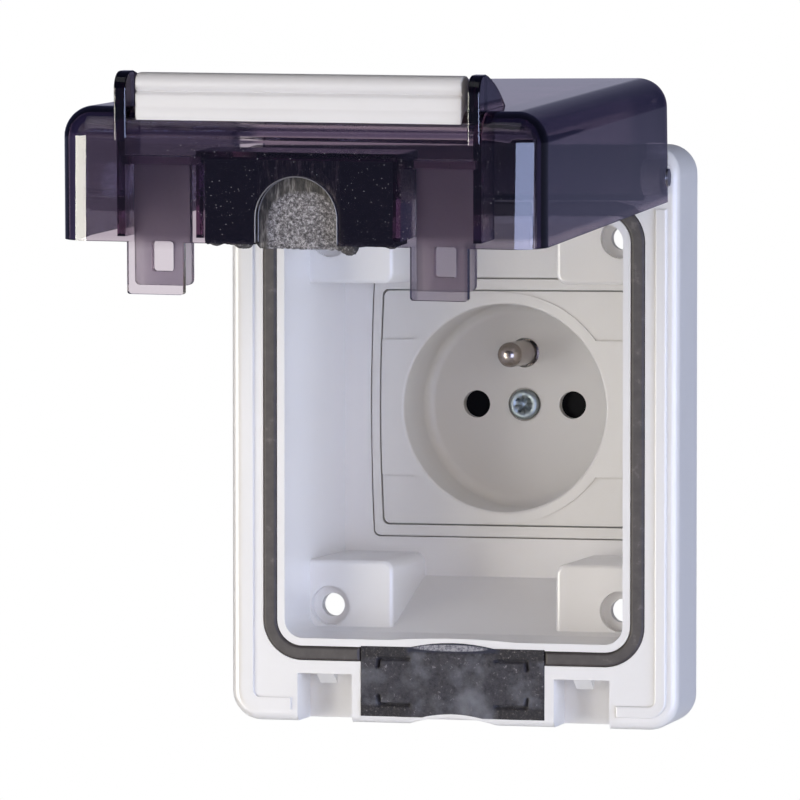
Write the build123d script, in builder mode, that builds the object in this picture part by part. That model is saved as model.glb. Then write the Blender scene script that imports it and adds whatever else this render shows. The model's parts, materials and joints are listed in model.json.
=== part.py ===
from build123d import *
import os
from math import cos, radians, sin, sqrt, tan

# Outdoor weatherproof socket, in millimetres. The origin is the middle of the flange's lower back edge,
# on the wall. X points to the right, Y into the wall and Z up. The lid stands open. Heights of features
# are given from the middle of the flange.

# Flange of the base
base_width = 84.5
base_height = 106.5
base_corner = 5.5
flange_depth = 16.4
flange_edge = 1.5
flange_front_wall = 4.4
flange_skirt = 4.4
skirt_corner = 2.0
moulded_wall = 2.2

# Recess behind the flange, with its inner lip and the groove of the lid seal round its mouth
cavity_width = 63.9
cavity_height = 76.6
cavity_middle = 0.45
cavity_corner = 3.4
cavity_draft = 0.8
floor_bend = -2.0
floor_angle = 18.5
floor_step = 0.2
lip_width = 1.4
seal_width = 2.7
seal_depth = 2.2
seal_proud = 0.3
seal_round = 0.6

# Labyrinth bead near the edge of the flange
bead_inset = 2.15
bead_width = 2.2
bead_height = 0.5
bead_round = 0.35
bead_inner_corner = 1.2
bead_gap_half = 30.7
bead_top = 41.5

# Corner bosses with their counterbored fixing holes
hole_spacing_x = 55.5
hole_spacing_z = 69.0
hole_middle = 1.4
hole_dia = 4.4
counterbore_dia = 7.5
counterbore_depth = 2.2
boss_front = 0.0
boss_inner_x = 15.6
boss_over_hole = 8.6
boss_round = 2.0
boss_edge = 0.8

# Latch pockets with their catches, and the foam pocket between them
latch_x = 24.3
pocket_width = 10.4
pocket_height = 8.9
pocket_depth = 8.8
catch_width = 3.2
catch_height = 2.0
catch_length = 2.9
catch_setback = 0.3
foam_width = 34.8
foam_pocket_height = 12.9
foam_floor = 1.3
foam_depth = 9.5
foam_proud = 0.4
saddle_chord = 16.7
saddle_rise = 1.4
saddle_floor = 0.6
lens_chord = 15.8
lens_rise = 0.9
bulge_chord = 24.0
bulge_rise = 0.5
bulge_depth = 2.5
foam_clearance = 0.1

# Groove and cord of the panel seal in the flange's back face
panel_seal_width = 2.0
panel_seal_depth = 1.6
seal_side_gap = 0.05

# Hinge
hinge_y = -21.9
hinge_z = 47.2
pin_dia = 3.2
pin_proud = 0.2
pin_clearance = 0.3
ear_radius = 3.2
ear_width = 3.5
ear_gap = 0.55

# Lid, measured in its own frame: from the rim up to the face, and from the hinge forwards
lid_width = 82.9
lid_length = 103.3
lid_depth = 22.3
lid_wall = 2.0
lid_corner = 5.5
lid_edge = 5.2
lid_drop_angle = 3.76
hinge_above_rim = 4.4
hinge_to_rear = 4.65
lid_inner_round = 3.2
knuckle_radius = 5.1
ear_slot_height = 10.5
ear_slot_reach = 4.0

# Latch tabs of the lid
tab_width = 9.7
tab_reach = 8.7
tab_thickness = 1.6
tab_corner = 0.5
hook_corner = 0.9
window_corner = 0.6
hook_setback = 4.9
hook_thickness = 1.5
hook_reach = 7.5
hook_top = 14.2
window_width = 3.8
window_reach = 5.2
window_height = 5.1
shelf_thickness = 1.4
guide_x = 30.5
guide_thickness = 1.4
guide_depth = 10.8
guide_lift = 0.8

# Cable chamber and arch of the lid
chamber_width = 35.0
chamber_depth = 12.0
chamber_wall = 1.3
chamber_top = 15.2
arch_width = 14.0
arch_height = 11.3

# Fins and grip bar
fin_x = 30.2
fin_thickness = 2.1
fin_length = 19.2
fin_flat = 5.0
fin_bend = 9.7
fin_bend_drop = 1.3
fin_height = 5.95
fin_nose = 0.3
fin_nose_round = 3.0
fin_foot = 16.6
fin_chin = 0.9
fin_root = 1.8
fin_edge = 0.3
bar_top = 28.0
bar_bottom = 19.9
bar_depth = 6.0
bar_setback = 0.9
bar_round = 2.5
bar_end_round = 0.6
bar_groove = 24.7
bar_groove_width = 0.7
bar_groove_depth = 0.4
bar_end_gap = 1.25
bar_seat_gap = 0.02

# Socket insert in the back wall of the recess
socket_z = 3.2
insert_front = 23.6
insert_plate = 2.2
insert_bow = 0.6
insert_corner = 1.2
frame_border = 1.8
frame_border_below = 2.3
frame_gap = 0.3
back_wall_setback = 0.3
ledge_lip = 1.4
ledge_thickness = 1.6
well_depth = 16.5
well_wall = 1.3
well_floor = 2.2
well_round = 0.5
well_floor_round = 2.0
ring_dia = 43.9
ring_width = 2.2
ring_side_margin = 2.25
ring_end_margin = 0.25
band_step = 0.35
pole_spacing = 19.0
pole_hole_dia = 5.3
earth_offset = 10.0
earth_pin_dia = 4.8
earth_hole_dia = 5.7
earth_pin_reach = 14.0
earth_tip_round = 2.2
earth_neck_dia = 4.2
earth_stem_dia = 5.2
seam_offset = 12.9
seam_width = 0.3
seam_depth = 0.2

# Screw in the middle of the well
screw_head_dia = 5.8
screw_head_height = 1.8
screw_head_sink = 0.8
screw_head_round = 0.7
screw_dia = 3.0
screw_length = 15.0
screw_clearance = 0.1
cross_width = 0.95
cross_reach = 3.5
cross_depth = 1.5
cross_taper = 12
cross_turn = 12
tick_width = 0.2
tick_depth = 0.3

# Mechanism behind the well
housing_width = 46.0
housing_height = 44.0
housing_depth = 33.5
housing_corner = 3.0
housing_flange = 2.2
housing_flange_lap = 2.6
housing_clearance = 0.2
shutter_thickness = 2.4
shutter_gap = 0.2
shutter_side_gap = 0.3
shutter_end_gap = 0.5
shutter_travel = 6.4
shutter_blade = 7.2
shutter_over_hole = 3.6
shutter_under_hole = 4.0
shutter_bridge = 3.5
spring_room = 12.9
spring_dia = 2.4
spring_wire = 0.4
spring_turns = 5
spring_side_gap = 1.3
sleeve_dia = 7.0
sleeve_bore = 4.5
sleeve_length = 10.5
sleeve_slit = 0.8
sleeve_setback = 0.5
strip_setback = 4.0
strip_width = 5.0
strip_thickness = 1.0
strip_drop = 17.0
clamp_width = 7.5
clamp_height = 7.0
clamp_length = 6.9
clamp_wall = 1.2
clamp_nut = 2.0
clamp_drop = 13.0
earth_clamp_rise = 6.6
earth_strap_width = 7.5
earth_strap_foot = 3.0
terminal_screw_dia = 3.4
terminal_screw_head = 5.4
terminal_screw_head_height = 2.0
terminal_screw_bite = 1.3
terminal_slot_width = 0.8
terminal_slot_depth = 0.9
terminal_room = 0.75
terminal_floor = 1.3
terminal_end = 20.5

# Places worked out from the sizes above
base_middle = base_height / 2
front_y = -flange_depth
base_bottom = -base_middle
cavity_bottom = cavity_middle - cavity_height / 2
groove_width = cavity_width + 2 * (lip_width + seal_width)
groove_height = cavity_height + 2 * (lip_width + seal_width)
groove_corner = cavity_corner + lip_width + seal_width
box_half = cavity_width / 2 + moulded_wall
back_wall_y = insert_front + back_wall_setback
ledge_y = insert_front + insert_plate
box_back = ledge_y + ledge_thickness
pocket_top = base_bottom + pocket_height
foam_bottom = base_bottom + foam_floor
foam_top = foam_bottom + foam_pocket_height
hole_top = hole_middle + hole_spacing_z / 2
hole_bottom = hole_middle - hole_spacing_z / 2
web_back = boss_front + 2 * counterbore_depth
panel_inset = flange_skirt / 2 - panel_seal_width / 2
lid_inner_half = lid_width / 2 - lid_wall
ear_outer_x = lid_inner_half - ear_gap
ear_inner_x = ear_outer_x - ear_width
front_reach = lid_length - hinge_to_rear
well_dia = ring_dia - 2 * ring_width
insert_width = ring_dia + 2 * ring_side_margin
insert_height = ring_dia + 2 * ring_end_margin
frame_width = insert_width + 2 * frame_border
frame_height = insert_height + 2 * frame_border_below
well_floor_y = insert_front + well_depth
shutter_y = well_floor_y + well_floor + shutter_gap
shutter_back = shutter_y + shutter_thickness
sleeve_y = shutter_back + shutter_gap + sleeve_setback
strip_y = sleeve_y + sleeve_length - strip_setback
clamp_y = strip_y - clamp_wall
clamp_back = clamp_y + clamp_length
terminal_y = clamp_y - terminal_floor
housing_back = box_back + housing_depth
opening_width = frame_width - 2 * ledge_lip
opening_height = frame_height - 2 * ledge_lip
earth_z = socket_z + earth_offset


def at_depth(y):
    """The plane at a depth, facing the front: its x is X, its y is Z."""
    return Plane(origin=(0, y, base_middle), x_dir=(1, 0, 0), z_dir=(0, -1, 0))


def at_side(x):
    """The plane at a place along the width, facing right: its x is Y, its y is Z."""
    return Plane(origin=(x, 0, base_middle), x_dir=(0, 1, 0), z_dir=(1, 0, 0))


def bowed_outline(width, height, bow, corner):
    """A rectangle round the origin whose two upright sides swell a little."""
    side = width / 2 - bow
    half = height / 2
    with BuildSketch() as outline:
        with BuildLine():
            Line((-side, half), (side, half))
            ThreePointArc((side, half), (width / 2, 0), (side, -half))
            Line((side, -half), (-side, -half))
            ThreePointArc((-side, -half), (-width / 2, 0), (-side, half))
        make_face()
        fillet(outline.vertices(), corner)
    return outline.sketch


def arch_face(chord, rise, foot):
    """A low arch standing on a line at the height of its foot."""
    with BuildSketch() as arch:
        with BuildLine():
            ThreePointArc((-chord / 2, foot), (0, foot + rise), (chord / 2, foot))
            Line((chord / 2, foot), (-chord / 2, foot))
        make_face()
    return arch.sketch


os.makedirs("parts", exist_ok=True)

# Outlines that several pieces share

saddle_radius = (saddle_chord**2 / 4 + saddle_rise**2) / (2 * saddle_rise)
inside_radius = saddle_radius + saddle_floor
inside_rise = saddle_rise + saddle_floor - foam_floor
inside_half = sqrt(inside_radius**2 - (inside_radius - inside_rise) ** 2)
saddle_inside = arch_face(2 * inside_half, inside_rise, foam_bottom)
saddle_outside = arch_face(saddle_chord, saddle_rise, base_bottom)
lens = arch_face(lens_chord, lens_rise, foam_top)
foam_lens = arch_face(lens_chord - 2 * foam_clearance, lens_rise - foam_clearance, foam_top)
lip_bulge = arch_face(bulge_chord, bulge_rise, cavity_bottom)
insert_outline = bowed_outline(insert_width, insert_height, insert_bow, insert_corner)
insert_hole = bowed_outline(
    insert_width + 2 * frame_gap, insert_height + 2 * frame_gap, insert_bow, insert_corner
)
frame_outline = bowed_outline(frame_width, frame_height, insert_bow, insert_corner)
frame_hole = bowed_outline(
    frame_width + 2 * frame_gap, frame_height + 2 * frame_gap, insert_bow, insert_corner
)


# Corner bosses: rounded blocks standing in the four corners of the recess

with BuildPart() as bosses:
    for sign_z, hole_z in ((1, hole_top), (-1, hole_bottom)):
        for sign_x in (1, -1):
            inner_z = hole_z - sign_z * boss_over_hole
            outer_z = sign_z * base_height / 2
            boss_wide = base_width / 2 - boss_inner_x
            with BuildSketch(at_depth(boss_front)) as boss_outline:
                with Locations((sign_x * (boss_inner_x + boss_wide / 2), (inner_z + outer_z) / 2)):
                    RectangleRounded(boss_wide, abs(outer_z - inner_z), boss_round)
            extrude(amount=-(box_back - boss_front))
    fillet(bosses.faces().filter_by(Axis.Y).group_by(Axis.Y)[0].edges(), boss_edge)

# Space of the recess: drafted walls, a floor that rises to the back, and the bosses left standing

floor_run = box_back + 1 - floor_bend
floor_rise = floor_run * tan(radians(floor_angle))

with BuildPart() as cavity:
    with BuildSketch(at_depth(front_y)):
        with Locations((0, cavity_middle)):
            RectangleRounded(cavity_width, cavity_height, cavity_corner)
    extrude(amount=-(back_wall_y - front_y), taper=cavity_draft)
    with BuildSketch(at_side(-base_width / 2)):
        with BuildLine():
            Polyline(
                (floor_bend, cavity_bottom + floor_step),
                (floor_bend + floor_run, cavity_bottom + floor_step + floor_rise),
                (floor_bend + floor_run, base_bottom),
                (floor_bend, base_bottom),
                close=True,
            )
        make_face()
    extrude(amount=base_width, mode=Mode.SUBTRACT)
    add(bosses.part, mode=Mode.SUBTRACT)

# Hollow back of the flange, between its skirt and the recess, kept shallow behind the latch pockets

with BuildPart() as flange_hollow:
    with BuildSketch(at_depth(0)):
        RectangleRounded(base_width - 2 * flange_skirt, base_height - 2 * flange_skirt, skirt_corner)
        with Locations((0, cavity_middle)):
            Rectangle(2 * box_half, cavity_height + 2 * moulded_wall, mode=Mode.SUBTRACT)
    extrude(amount=flange_depth - flange_front_wall)
    shallow = flange_depth - pocket_depth - moulded_wall
    with BuildSketch(at_depth(-shallow)):
        with Locations((0, (base_bottom + cavity_bottom) / 2)):
            Rectangle(2 * (latch_x + pocket_width / 2 + moulded_wall), cavity_bottom - base_bottom)
    extrude(amount=flange_depth, mode=Mode.SUBTRACT)

# Labyrinth bead: a low rounded rib along both sides of the flange and round its lower corners

with BuildPart() as bead:
    with BuildSketch(at_depth(front_y)):
        RectangleRounded(base_width - 2 * bead_inset, base_height - 2 * bead_inset, base_corner - bead_inset)
        inner_inset = bead_inset + bead_width
        RectangleRounded(
            base_width - 2 * inner_inset, base_height - 2 * inner_inset, bead_inner_corner, mode=Mode.SUBTRACT
        )
        with Locations((0, (bead_top + base_height / 2) / 2)):
            Rectangle(base_width, base_height / 2 - bead_top, mode=Mode.SUBTRACT)
        with Locations((0, base_bottom)):
            Rectangle(2 * bead_gap_half, 2 * inner_inset, mode=Mode.SUBTRACT)
    extrude(amount=bead_height)
    fillet(bead.faces().sort_by(Axis.Y)[0].edges(), bead_round)

# Base: flange and recessed box moulded as one piece

with BuildPart() as base:
    with BuildSketch(at_depth(0)):
        RectangleRounded(base_width, base_height, base_corner)
    extrude(amount=flange_depth)
    fillet(base.faces().sort_by(Axis.Y)[0].edges(), flange_edge)
    with BuildSketch(at_depth(0)):
        with Locations((0, cavity_middle)):
            RectangleRounded(2 * box_half, cavity_height + 2 * moulded_wall, cavity_corner)
    extrude(amount=-box_back)
    # The underside of the box follows the rising floor one wall below it
    outer_drop = moulded_wall / cos(radians(floor_angle)) - floor_step
    with BuildSketch(at_side(-base_width / 2)):
        with BuildLine():
            lower_start = cavity_bottom - outer_drop - floor_bend * tan(radians(floor_angle))
            Polyline(
                (0, lower_start),
                (box_back + 1, lower_start + (box_back + 1) * tan(radians(floor_angle))),
                (box_back + 1, base_bottom),
                (0, base_bottom),
                close=True,
            )
        make_face()
    extrude(amount=base_width, mode=Mode.SUBTRACT)
    add(cavity.part, mode=Mode.SUBTRACT)
    add(flange_hollow.part, mode=Mode.SUBTRACT)
    add(bead.part)
    # Behind each fixing hole's web the corner of the box is open to the outside
    for sign_z, hole_z in ((1, hole_top), (-1, hole_bottom)):
        for sign_x in (1, -1):
            notch_x = boss_inner_x + moulded_wall
            notch_z = hole_z - sign_z * (boss_over_hole - moulded_wall)
            notch_end = sign_z * base_height / 2
            with BuildSketch(at_depth(web_back)):
                with Locations((sign_x * (notch_x + base_width / 2) / 2, (notch_z + notch_end) / 2)):
                    Rectangle(base_width / 2 - notch_x, abs(notch_end - notch_z))
            extrude(amount=-(box_back - web_back), mode=Mode.SUBTRACT)
    with Locations(at_depth(boss_front)):
        with Locations((0, hole_middle)):
            with GridLocations(hole_spacing_x, hole_spacing_z, 2, 2):
                CounterBoreHole(
                    hole_dia / 2, counterbore_dia / 2, counterbore_depth, 2 * counterbore_depth + 1
                )
    # Groove of the lid seal
    with BuildSketch(at_depth(front_y + seal_depth)):
        with Locations((0, cavity_middle)):
            RectangleRounded(groove_width, groove_height, groove_corner)
            RectangleRounded(
                cavity_width + 2 * lip_width,
                cavity_height + 2 * lip_width,
                cavity_corner + lip_width,
                mode=Mode.SUBTRACT,
            )
    extrude(amount=seal_depth + 1, mode=Mode.SUBTRACT)
    # Pocket of the foam block, over an arched cable saddle and under a low swelling of the lip
    with BuildSketch(at_depth(front_y + bulge_depth)):
        add(lip_bulge)
    extrude(amount=bulge_depth)
    with BuildSketch(at_depth(front_y + foam_depth)):
        with Locations((0, (foam_top + foam_bottom) / 2)):
            Rectangle(foam_width, foam_pocket_height)
        add(lens)
        add(saddle_inside, mode=Mode.SUBTRACT)
    extrude(amount=foam_depth + 1, mode=Mode.SUBTRACT)
    with BuildSketch(at_depth(front_y + foam_depth)):
        add(saddle_outside)
    extrude(amount=foam_depth, mode=Mode.SUBTRACT)
    # Latch pockets, open in front and below, each with a ramped catch under its roof
    for sign_x in (1, -1):
        with BuildSketch(at_depth(front_y + pocket_depth)):
            with Locations((sign_x * latch_x, (pocket_top + base_bottom - 1) / 2)):
                Rectangle(pocket_width, pocket_height + 1)
        extrude(amount=pocket_depth + 1, mode=Mode.SUBTRACT)
        with BuildSketch(at_side(sign_x * latch_x - catch_width / 2)):
            with BuildLine():
                Polyline(
                    (front_y + catch_setback, pocket_top),
                    (front_y + catch_setback + catch_length, pocket_top - catch_height),
                    (front_y + catch_setback + catch_length, pocket_top),
                    close=True,
                )
            make_face()
        extrude(amount=catch_width)
    # Hinge ears standing in front of the flange
    for sign_x in (1, -1):
        ear_low_x = min(sign_x * ear_inner_x, sign_x * ear_outer_x)
        with BuildSketch(at_side(ear_low_x)):
            with Locations((hinge_y, hinge_z)):
                Circle(ear_radius)
            with Locations(((hinge_y + front_y + 1) / 2, hinge_z)):
                Rectangle(front_y + 1 - hinge_y, 2 * ear_radius)
            with Locations((hinge_y, hinge_z)):
                Circle(pin_dia / 2, mode=Mode.SUBTRACT)
        extrude(amount=ear_width)
    # Stepped opening for the socket insert in the back wall
    with BuildSketch(at_depth(ledge_y)):
        with Locations((0, socket_z)):
            add(frame_hole)
    extrude(amount=insert_plate, mode=Mode.SUBTRACT)
    with BuildSketch(at_depth(box_back)):
        with Locations((0, socket_z)):
            Rectangle(opening_width, opening_height)
    extrude(amount=ledge_thickness, mode=Mode.SUBTRACT)
    # Faint seams of the back wall, in line with those of the socket
    with BuildSketch(at_depth(back_wall_y + seam_depth)):
        with Locations((0, socket_z + seam_offset), (0, socket_z - seam_offset)):
            Rectangle(cavity_width, seam_width)
    extrude(amount=seam_depth, mode=Mode.SUBTRACT)
    # Groove of the panel seal in the flange's back face
    with BuildSketch(at_depth(-panel_seal_depth)):
        seal_outer = panel_inset
        RectangleRounded(base_width - 2 * seal_outer, base_height - 2 * seal_outer, base_corner - seal_outer)
        seal_inner = panel_inset + panel_seal_width
        RectangleRounded(
            base_width - 2 * seal_inner,
            base_height - 2 * seal_inner,
            base_corner - seal_inner,
            mode=Mode.SUBTRACT,
        )
    extrude(amount=-panel_seal_depth, mode=Mode.SUBTRACT)

base.part.label = "base"
export_step(base.part, "parts/base.step")

# Lid seal: a rubber cord in the groove round the recess, broken by the foam block at the bottom

with BuildPart() as lid_seal:
    with BuildSketch(at_depth(front_y + seal_depth)):
        with Locations((0, cavity_middle)):
            RectangleRounded(
                groove_width - 2 * seal_side_gap,
                groove_height - 2 * seal_side_gap,
                groove_corner - seal_side_gap,
            )
            RectangleRounded(
                cavity_width + 2 * (lip_width + seal_side_gap),
                cavity_height + 2 * (lip_width + seal_side_gap),
                cavity_corner + lip_width + seal_side_gap,
                mode=Mode.SUBTRACT,
            )
        with Locations((0, (foam_top + foam_bottom) / 2)):
            Rectangle(foam_width + 2 * foam_clearance, foam_pocket_height, mode=Mode.SUBTRACT)
    extrude(amount=seal_depth + seal_proud)
    fillet(lid_seal.faces().sort_by(Axis.Y)[0].edges(), seal_round)

lid_seal.part.label = "lid_seal"
export_step(lid_seal.part, "parts/lid_seal.step")

# Panel seal: a rubber cord in the groove of the flange's back face

with BuildPart() as panel_seal:
    with BuildSketch(at_depth(0)):
        cord_outer = panel_inset + seal_side_gap
        RectangleRounded(base_width - 2 * cord_outer, base_height - 2 * cord_outer, base_corner - cord_outer)
        cord_inner = panel_inset + panel_seal_width - seal_side_gap
        RectangleRounded(
            base_width - 2 * cord_inner,
            base_height - 2 * cord_inner,
            base_corner - cord_inner,
            mode=Mode.SUBTRACT,
        )
    extrude(amount=panel_seal_depth)

panel_seal.part.label = "panel_seal"
export_step(panel_seal.part, "parts/panel_seal.step")

# Foam block of the base: it closes round the lower half of a cable

with BuildPart() as base_foam:
    with BuildSketch(at_depth(front_y + foam_depth)):
        with Locations((0, (foam_top + foam_bottom) / 2)):
            Rectangle(foam_width - 2 * foam_clearance, foam_pocket_height)
        add(foam_lens)
        add(saddle_inside, mode=Mode.SUBTRACT)
    extrude(amount=foam_depth + foam_proud)

base_foam.part.label = "base_foam"
export_step(base_foam.part, "parts/base_foam.step")

# Hinge pins: pressed into the ears, their outer ends carry the lid

with BuildPart() as hinge_pin_left:
    with BuildSketch(at_side(-lid_width / 2 - pin_proud)):
        with Locations((hinge_y, hinge_z)):
            Circle(pin_dia / 2)
    extrude(amount=lid_width / 2 + pin_proud - ear_inner_x)

hinge_pin_left.part.label = "hinge_pin_left"
export_step(hinge_pin_left.part, "parts/hinge_pin_left.step")

with BuildPart() as hinge_pin_right:
    with BuildSketch(at_side(ear_inner_x)):
        with Locations((hinge_y, hinge_z)):
            Circle(pin_dia / 2)
    extrude(amount=lid_width / 2 + pin_proud - ear_inner_x)

hinge_pin_right.part.label = "hinge_pin_right"
export_step(hinge_pin_right.part, "parts/hinge_pin_right.step")

# Frame of the open lid: it drops a little towards its front end

drop = radians(lid_drop_angle)
lid_up = Vector(0, -sin(drop), cos(drop))
lid_back = Vector(0, cos(drop), sin(drop))
rim_origin = Vector(0, hinge_y, base_middle + hinge_z) - lid_up * hinge_above_rim
lid_plane = Plane(origin=rim_origin, x_dir=(1, 0, 0), z_dir=lid_up)
lid_front = Plane(origin=rim_origin - lid_back * front_reach, x_dir=(1, 0, 0), z_dir=-lid_back)
lid_side = Plane(origin=rim_origin, x_dir=lid_back, z_dir=(1, 0, 0))
lid_face_axis = Axis(rim_origin, lid_up)

# Outer and inner form of the lid's shell

with BuildPart() as lid_outer:
    with BuildSketch(lid_plane):
        with Locations((0, hinge_to_rear - lid_length / 2)):
            RectangleRounded(lid_width, lid_length, lid_corner)
    extrude(amount=lid_depth)
    fillet(lid_outer.faces().sort_by(lid_face_axis)[-1].edges(), lid_edge)

with BuildPart() as lid_inner:
    with BuildSketch(lid_plane):
        with Locations((0, hinge_to_rear - lid_length / 2)):
            RectangleRounded(lid_width - 2 * lid_wall, lid_length - 2 * lid_wall, lid_corner - lid_wall)
    extrude(amount=lid_depth - lid_wall)
    fillet(lid_inner.faces().sort_by(lid_face_axis)[-1].edges(), lid_inner_round)

# Fins that carry the grip bar over the front edge of the lid

fin_tip = -front_reach - fin_nose
fin_top = lid_depth + fin_height
fin_rear = fin_tip + fin_length

with BuildPart() as fins:
    for sign_x in (1, -1):
        with BuildSketch(lid_side.offset(sign_x * fin_x - fin_thickness / 2)):
            with BuildLine():
                Line((-front_reach + lid_wall / 2, fin_foot), (-front_reach, fin_foot))
                Line((-front_reach, fin_foot), (fin_tip, fin_foot + fin_chin))
                Line((fin_tip, fin_foot + fin_chin), (fin_tip, fin_top - fin_nose_round))
                RadiusArc(
                    (fin_tip, fin_top - fin_nose_round), (fin_tip + fin_nose_round, fin_top), fin_nose_round
                )
                Line((fin_tip + fin_nose_round, fin_top), (fin_tip + fin_flat, fin_top))
                ThreePointArc(
                    (fin_tip + fin_flat, fin_top),
                    (fin_tip + fin_bend, fin_top - fin_bend_drop),
                    (fin_rear, lid_depth - lid_wall / 3),
                )
                Line((fin_rear, lid_depth - lid_wall / 3), (fin_rear, lid_depth - fin_root))
                Line((fin_rear, lid_depth - fin_root), (-front_reach + lid_edge, lid_depth - fin_root))
                Line(
                    (-front_reach + lid_edge, lid_depth - fin_root),
                    (-front_reach + lid_wall / 2, fin_foot),
                )
            make_face()
        extrude(amount=fin_thickness)
    fillet(fins.faces().filter_by(Axis.X).edges(), fin_edge)

# Lid: a clear shell with its latch tabs, cable chamber and hinge holes

with BuildPart() as lid:
    add(lid_outer.part)
    add(fins.part)
    add(lid_inner.part, mode=Mode.SUBTRACT)
    # Latch tabs: a plain outer plate and a windowed hook plate behind it
    for sign_x in (1, -1):
        with BuildSketch(lid_front) as tab_outline:
            with Locations((sign_x * latch_x, (1 - tab_reach) / 2)):
                Rectangle(tab_width, 1 + tab_reach)
            fillet(tab_outline.vertices().group_by(Axis.Y)[0], tab_corner)
        extrude(amount=-tab_thickness)
        with BuildSketch(lid_front.offset(-hook_setback)) as hook_outline:
            with Locations((sign_x * latch_x, (hook_top - hook_reach) / 2)):
                Rectangle(tab_width, hook_top + hook_reach)
            fillet(hook_outline.vertices().group_by(Axis.Y)[0], hook_corner)
            with Locations((sign_x * latch_x, window_height / 2 - window_reach)):
                RectangleRounded(window_width, window_height, window_corner, mode=Mode.SUBTRACT)
        extrude(amount=-hook_thickness)
        # Shelf that carries the hook plate, and the guide rib at its outer end
        guide_outer = guide_x + guide_thickness / 2
        shelf_inner = chamber_width / 2 - chamber_wall / 2
        shelf_depth = hook_setback + hook_thickness - lid_wall / 2
        shelf_y = -front_reach + lid_wall / 2 + shelf_depth / 2
        with BuildSketch(lid_plane.offset(hook_top - shelf_thickness)):
            with Locations((sign_x * (guide_outer + shelf_inner) / 2, shelf_y)):
                Rectangle(guide_outer - shelf_inner, shelf_depth)
        extrude(amount=shelf_thickness)
        with BuildSketch(lid_plane.offset(guide_lift)):
            with Locations((sign_x * guide_x, -front_reach + (lid_wall / 2 + guide_depth) / 2)):
                Rectangle(guide_thickness, guide_depth - lid_wall / 2)
        extrude(amount=lid_depth - lid_wall / 2 - guide_lift)
    # Chamber that holds the foam behind the cable arch
    chamber_back = -front_reach + chamber_depth
    with BuildSketch(lid_plane.offset(guide_lift)):
        with Locations((0, (-front_reach + lid_wall / 2 + chamber_back + chamber_wall) / 2)):
            Rectangle(chamber_width, chamber_depth + chamber_wall - lid_wall / 2)
    extrude(amount=chamber_top - guide_lift)
    with BuildSketch(lid_plane):
        with Locations((0, (-front_reach + lid_wall + chamber_back) / 2)):
            Rectangle(chamber_width - 2 * chamber_wall, chamber_depth - lid_wall)
    extrude(amount=chamber_top - chamber_wall, mode=Mode.SUBTRACT)
    arch_spring = arch_height - arch_width / 2
    with BuildSketch(lid_front):
        with Locations((0, arch_spring / 2)):
            Rectangle(arch_width, arch_spring)
        with Locations((0, arch_spring)):
            Circle(arch_width / 2)
    extrude(amount=-lid_wall, mode=Mode.SUBTRACT)
    # The rear lower edge is rounded about the hinge so that it passes the flange
    with BuildSketch(lid_side.offset(-lid_width / 2 - 1)):
        with Locations((hinge_to_rear / 2 + 1, hinge_above_rim / 2)):
            Rectangle(hinge_to_rear + 2, hinge_above_rim)
        with Locations((0, hinge_above_rim)):
            Circle(knuckle_radius, mode=Mode.SUBTRACT)
    extrude(amount=lid_width + 2, mode=Mode.SUBTRACT)
    slot_width = ear_width + 2 * ear_gap
    for slot_low_x in (lid_inner_half - slot_width, -lid_inner_half):
        with BuildSketch(lid_side.offset(slot_low_x)):
            with Locations((hinge_to_rear / 2 + 1 - ear_slot_reach / 2, ear_slot_height / 2 - 1)):
                Rectangle(hinge_to_rear + 2 + ear_slot_reach, ear_slot_height + 2)
        extrude(amount=slot_width, mode=Mode.SUBTRACT)
    with BuildSketch(lid_side.offset(-lid_width / 2 - 1)):
        with Locations((0, hinge_above_rim)):
            Circle(pin_dia / 2 + pin_clearance)
    extrude(amount=lid_width + 2, mode=Mode.SUBTRACT)

lid.part.label = "lid"
export_step(lid.part, "parts/lid.step")

# Grip bar: an opaque moulding seated on the lid between the fins

bar_front = -front_reach + bar_setback
bar_half = fin_x - fin_thickness / 2 - bar_end_gap

with BuildPart() as grip_bar:
    with BuildSketch(lid_side.offset(-bar_half)) as bar_section:
        with Locations((bar_front + bar_depth / 2, (bar_top + bar_bottom) / 2)):
            Rectangle(bar_depth, bar_top - bar_bottom)
        fillet(bar_section.vertices().group_by(Axis.Y)[-1], bar_round)
    extrude(amount=2 * bar_half)
    fillet(grip_bar.faces().filter_by(Axis.X).edges(), bar_end_round)
    with BuildSketch(lid_side.offset(-bar_half)):
        with Locations((bar_front, bar_groove)):
            Rectangle(2 * bar_groove_depth, bar_groove_width)
    extrude(amount=2 * bar_half, mode=Mode.SUBTRACT)
    add(lid_outer.part.moved(Location(lid_up * bar_seat_gap)), mode=Mode.SUBTRACT)

grip_bar.part.label = "grip_bar"
export_step(grip_bar.part, "parts/grip_bar.step")

# Foam block of the lid: it fills the chamber behind the arch

with BuildPart() as lid_foam:
    with BuildSketch(lid_plane):
        with Locations((0, (-front_reach + lid_wall + chamber_back) / 2)):
            Rectangle(
                chamber_width - 2 * (chamber_wall + foam_clearance),
                chamber_depth - lid_wall - 2 * foam_clearance,
            )
    extrude(amount=chamber_top - chamber_wall)

lid_foam.part.label = "lid_foam"
export_step(lid_foam.part, "parts/lid_foam.step")

# Adapter frame: a thin frame on the ledge of the back wall, round the socket insert

with BuildPart() as adapter_frame:
    with BuildSketch(at_depth(ledge_y)):
        with Locations((0, socket_z)):
            add(frame_outline)
            add(insert_hole, mode=Mode.SUBTRACT)
    extrude(amount=insert_plate)

adapter_frame.part.label = "adapter_frame"
export_step(adapter_frame.part, "parts/adapter_frame.step")

# Front of the socket: a plate with a raised band across it and a ring round a deep round well


def on_well_wall(edge):
    """Whether an edge is a circle of the well's own diameter."""
    return edge.geom_type == GeomType.CIRCLE and abs(edge.radius - well_dia / 2) < well_round / 2


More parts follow.
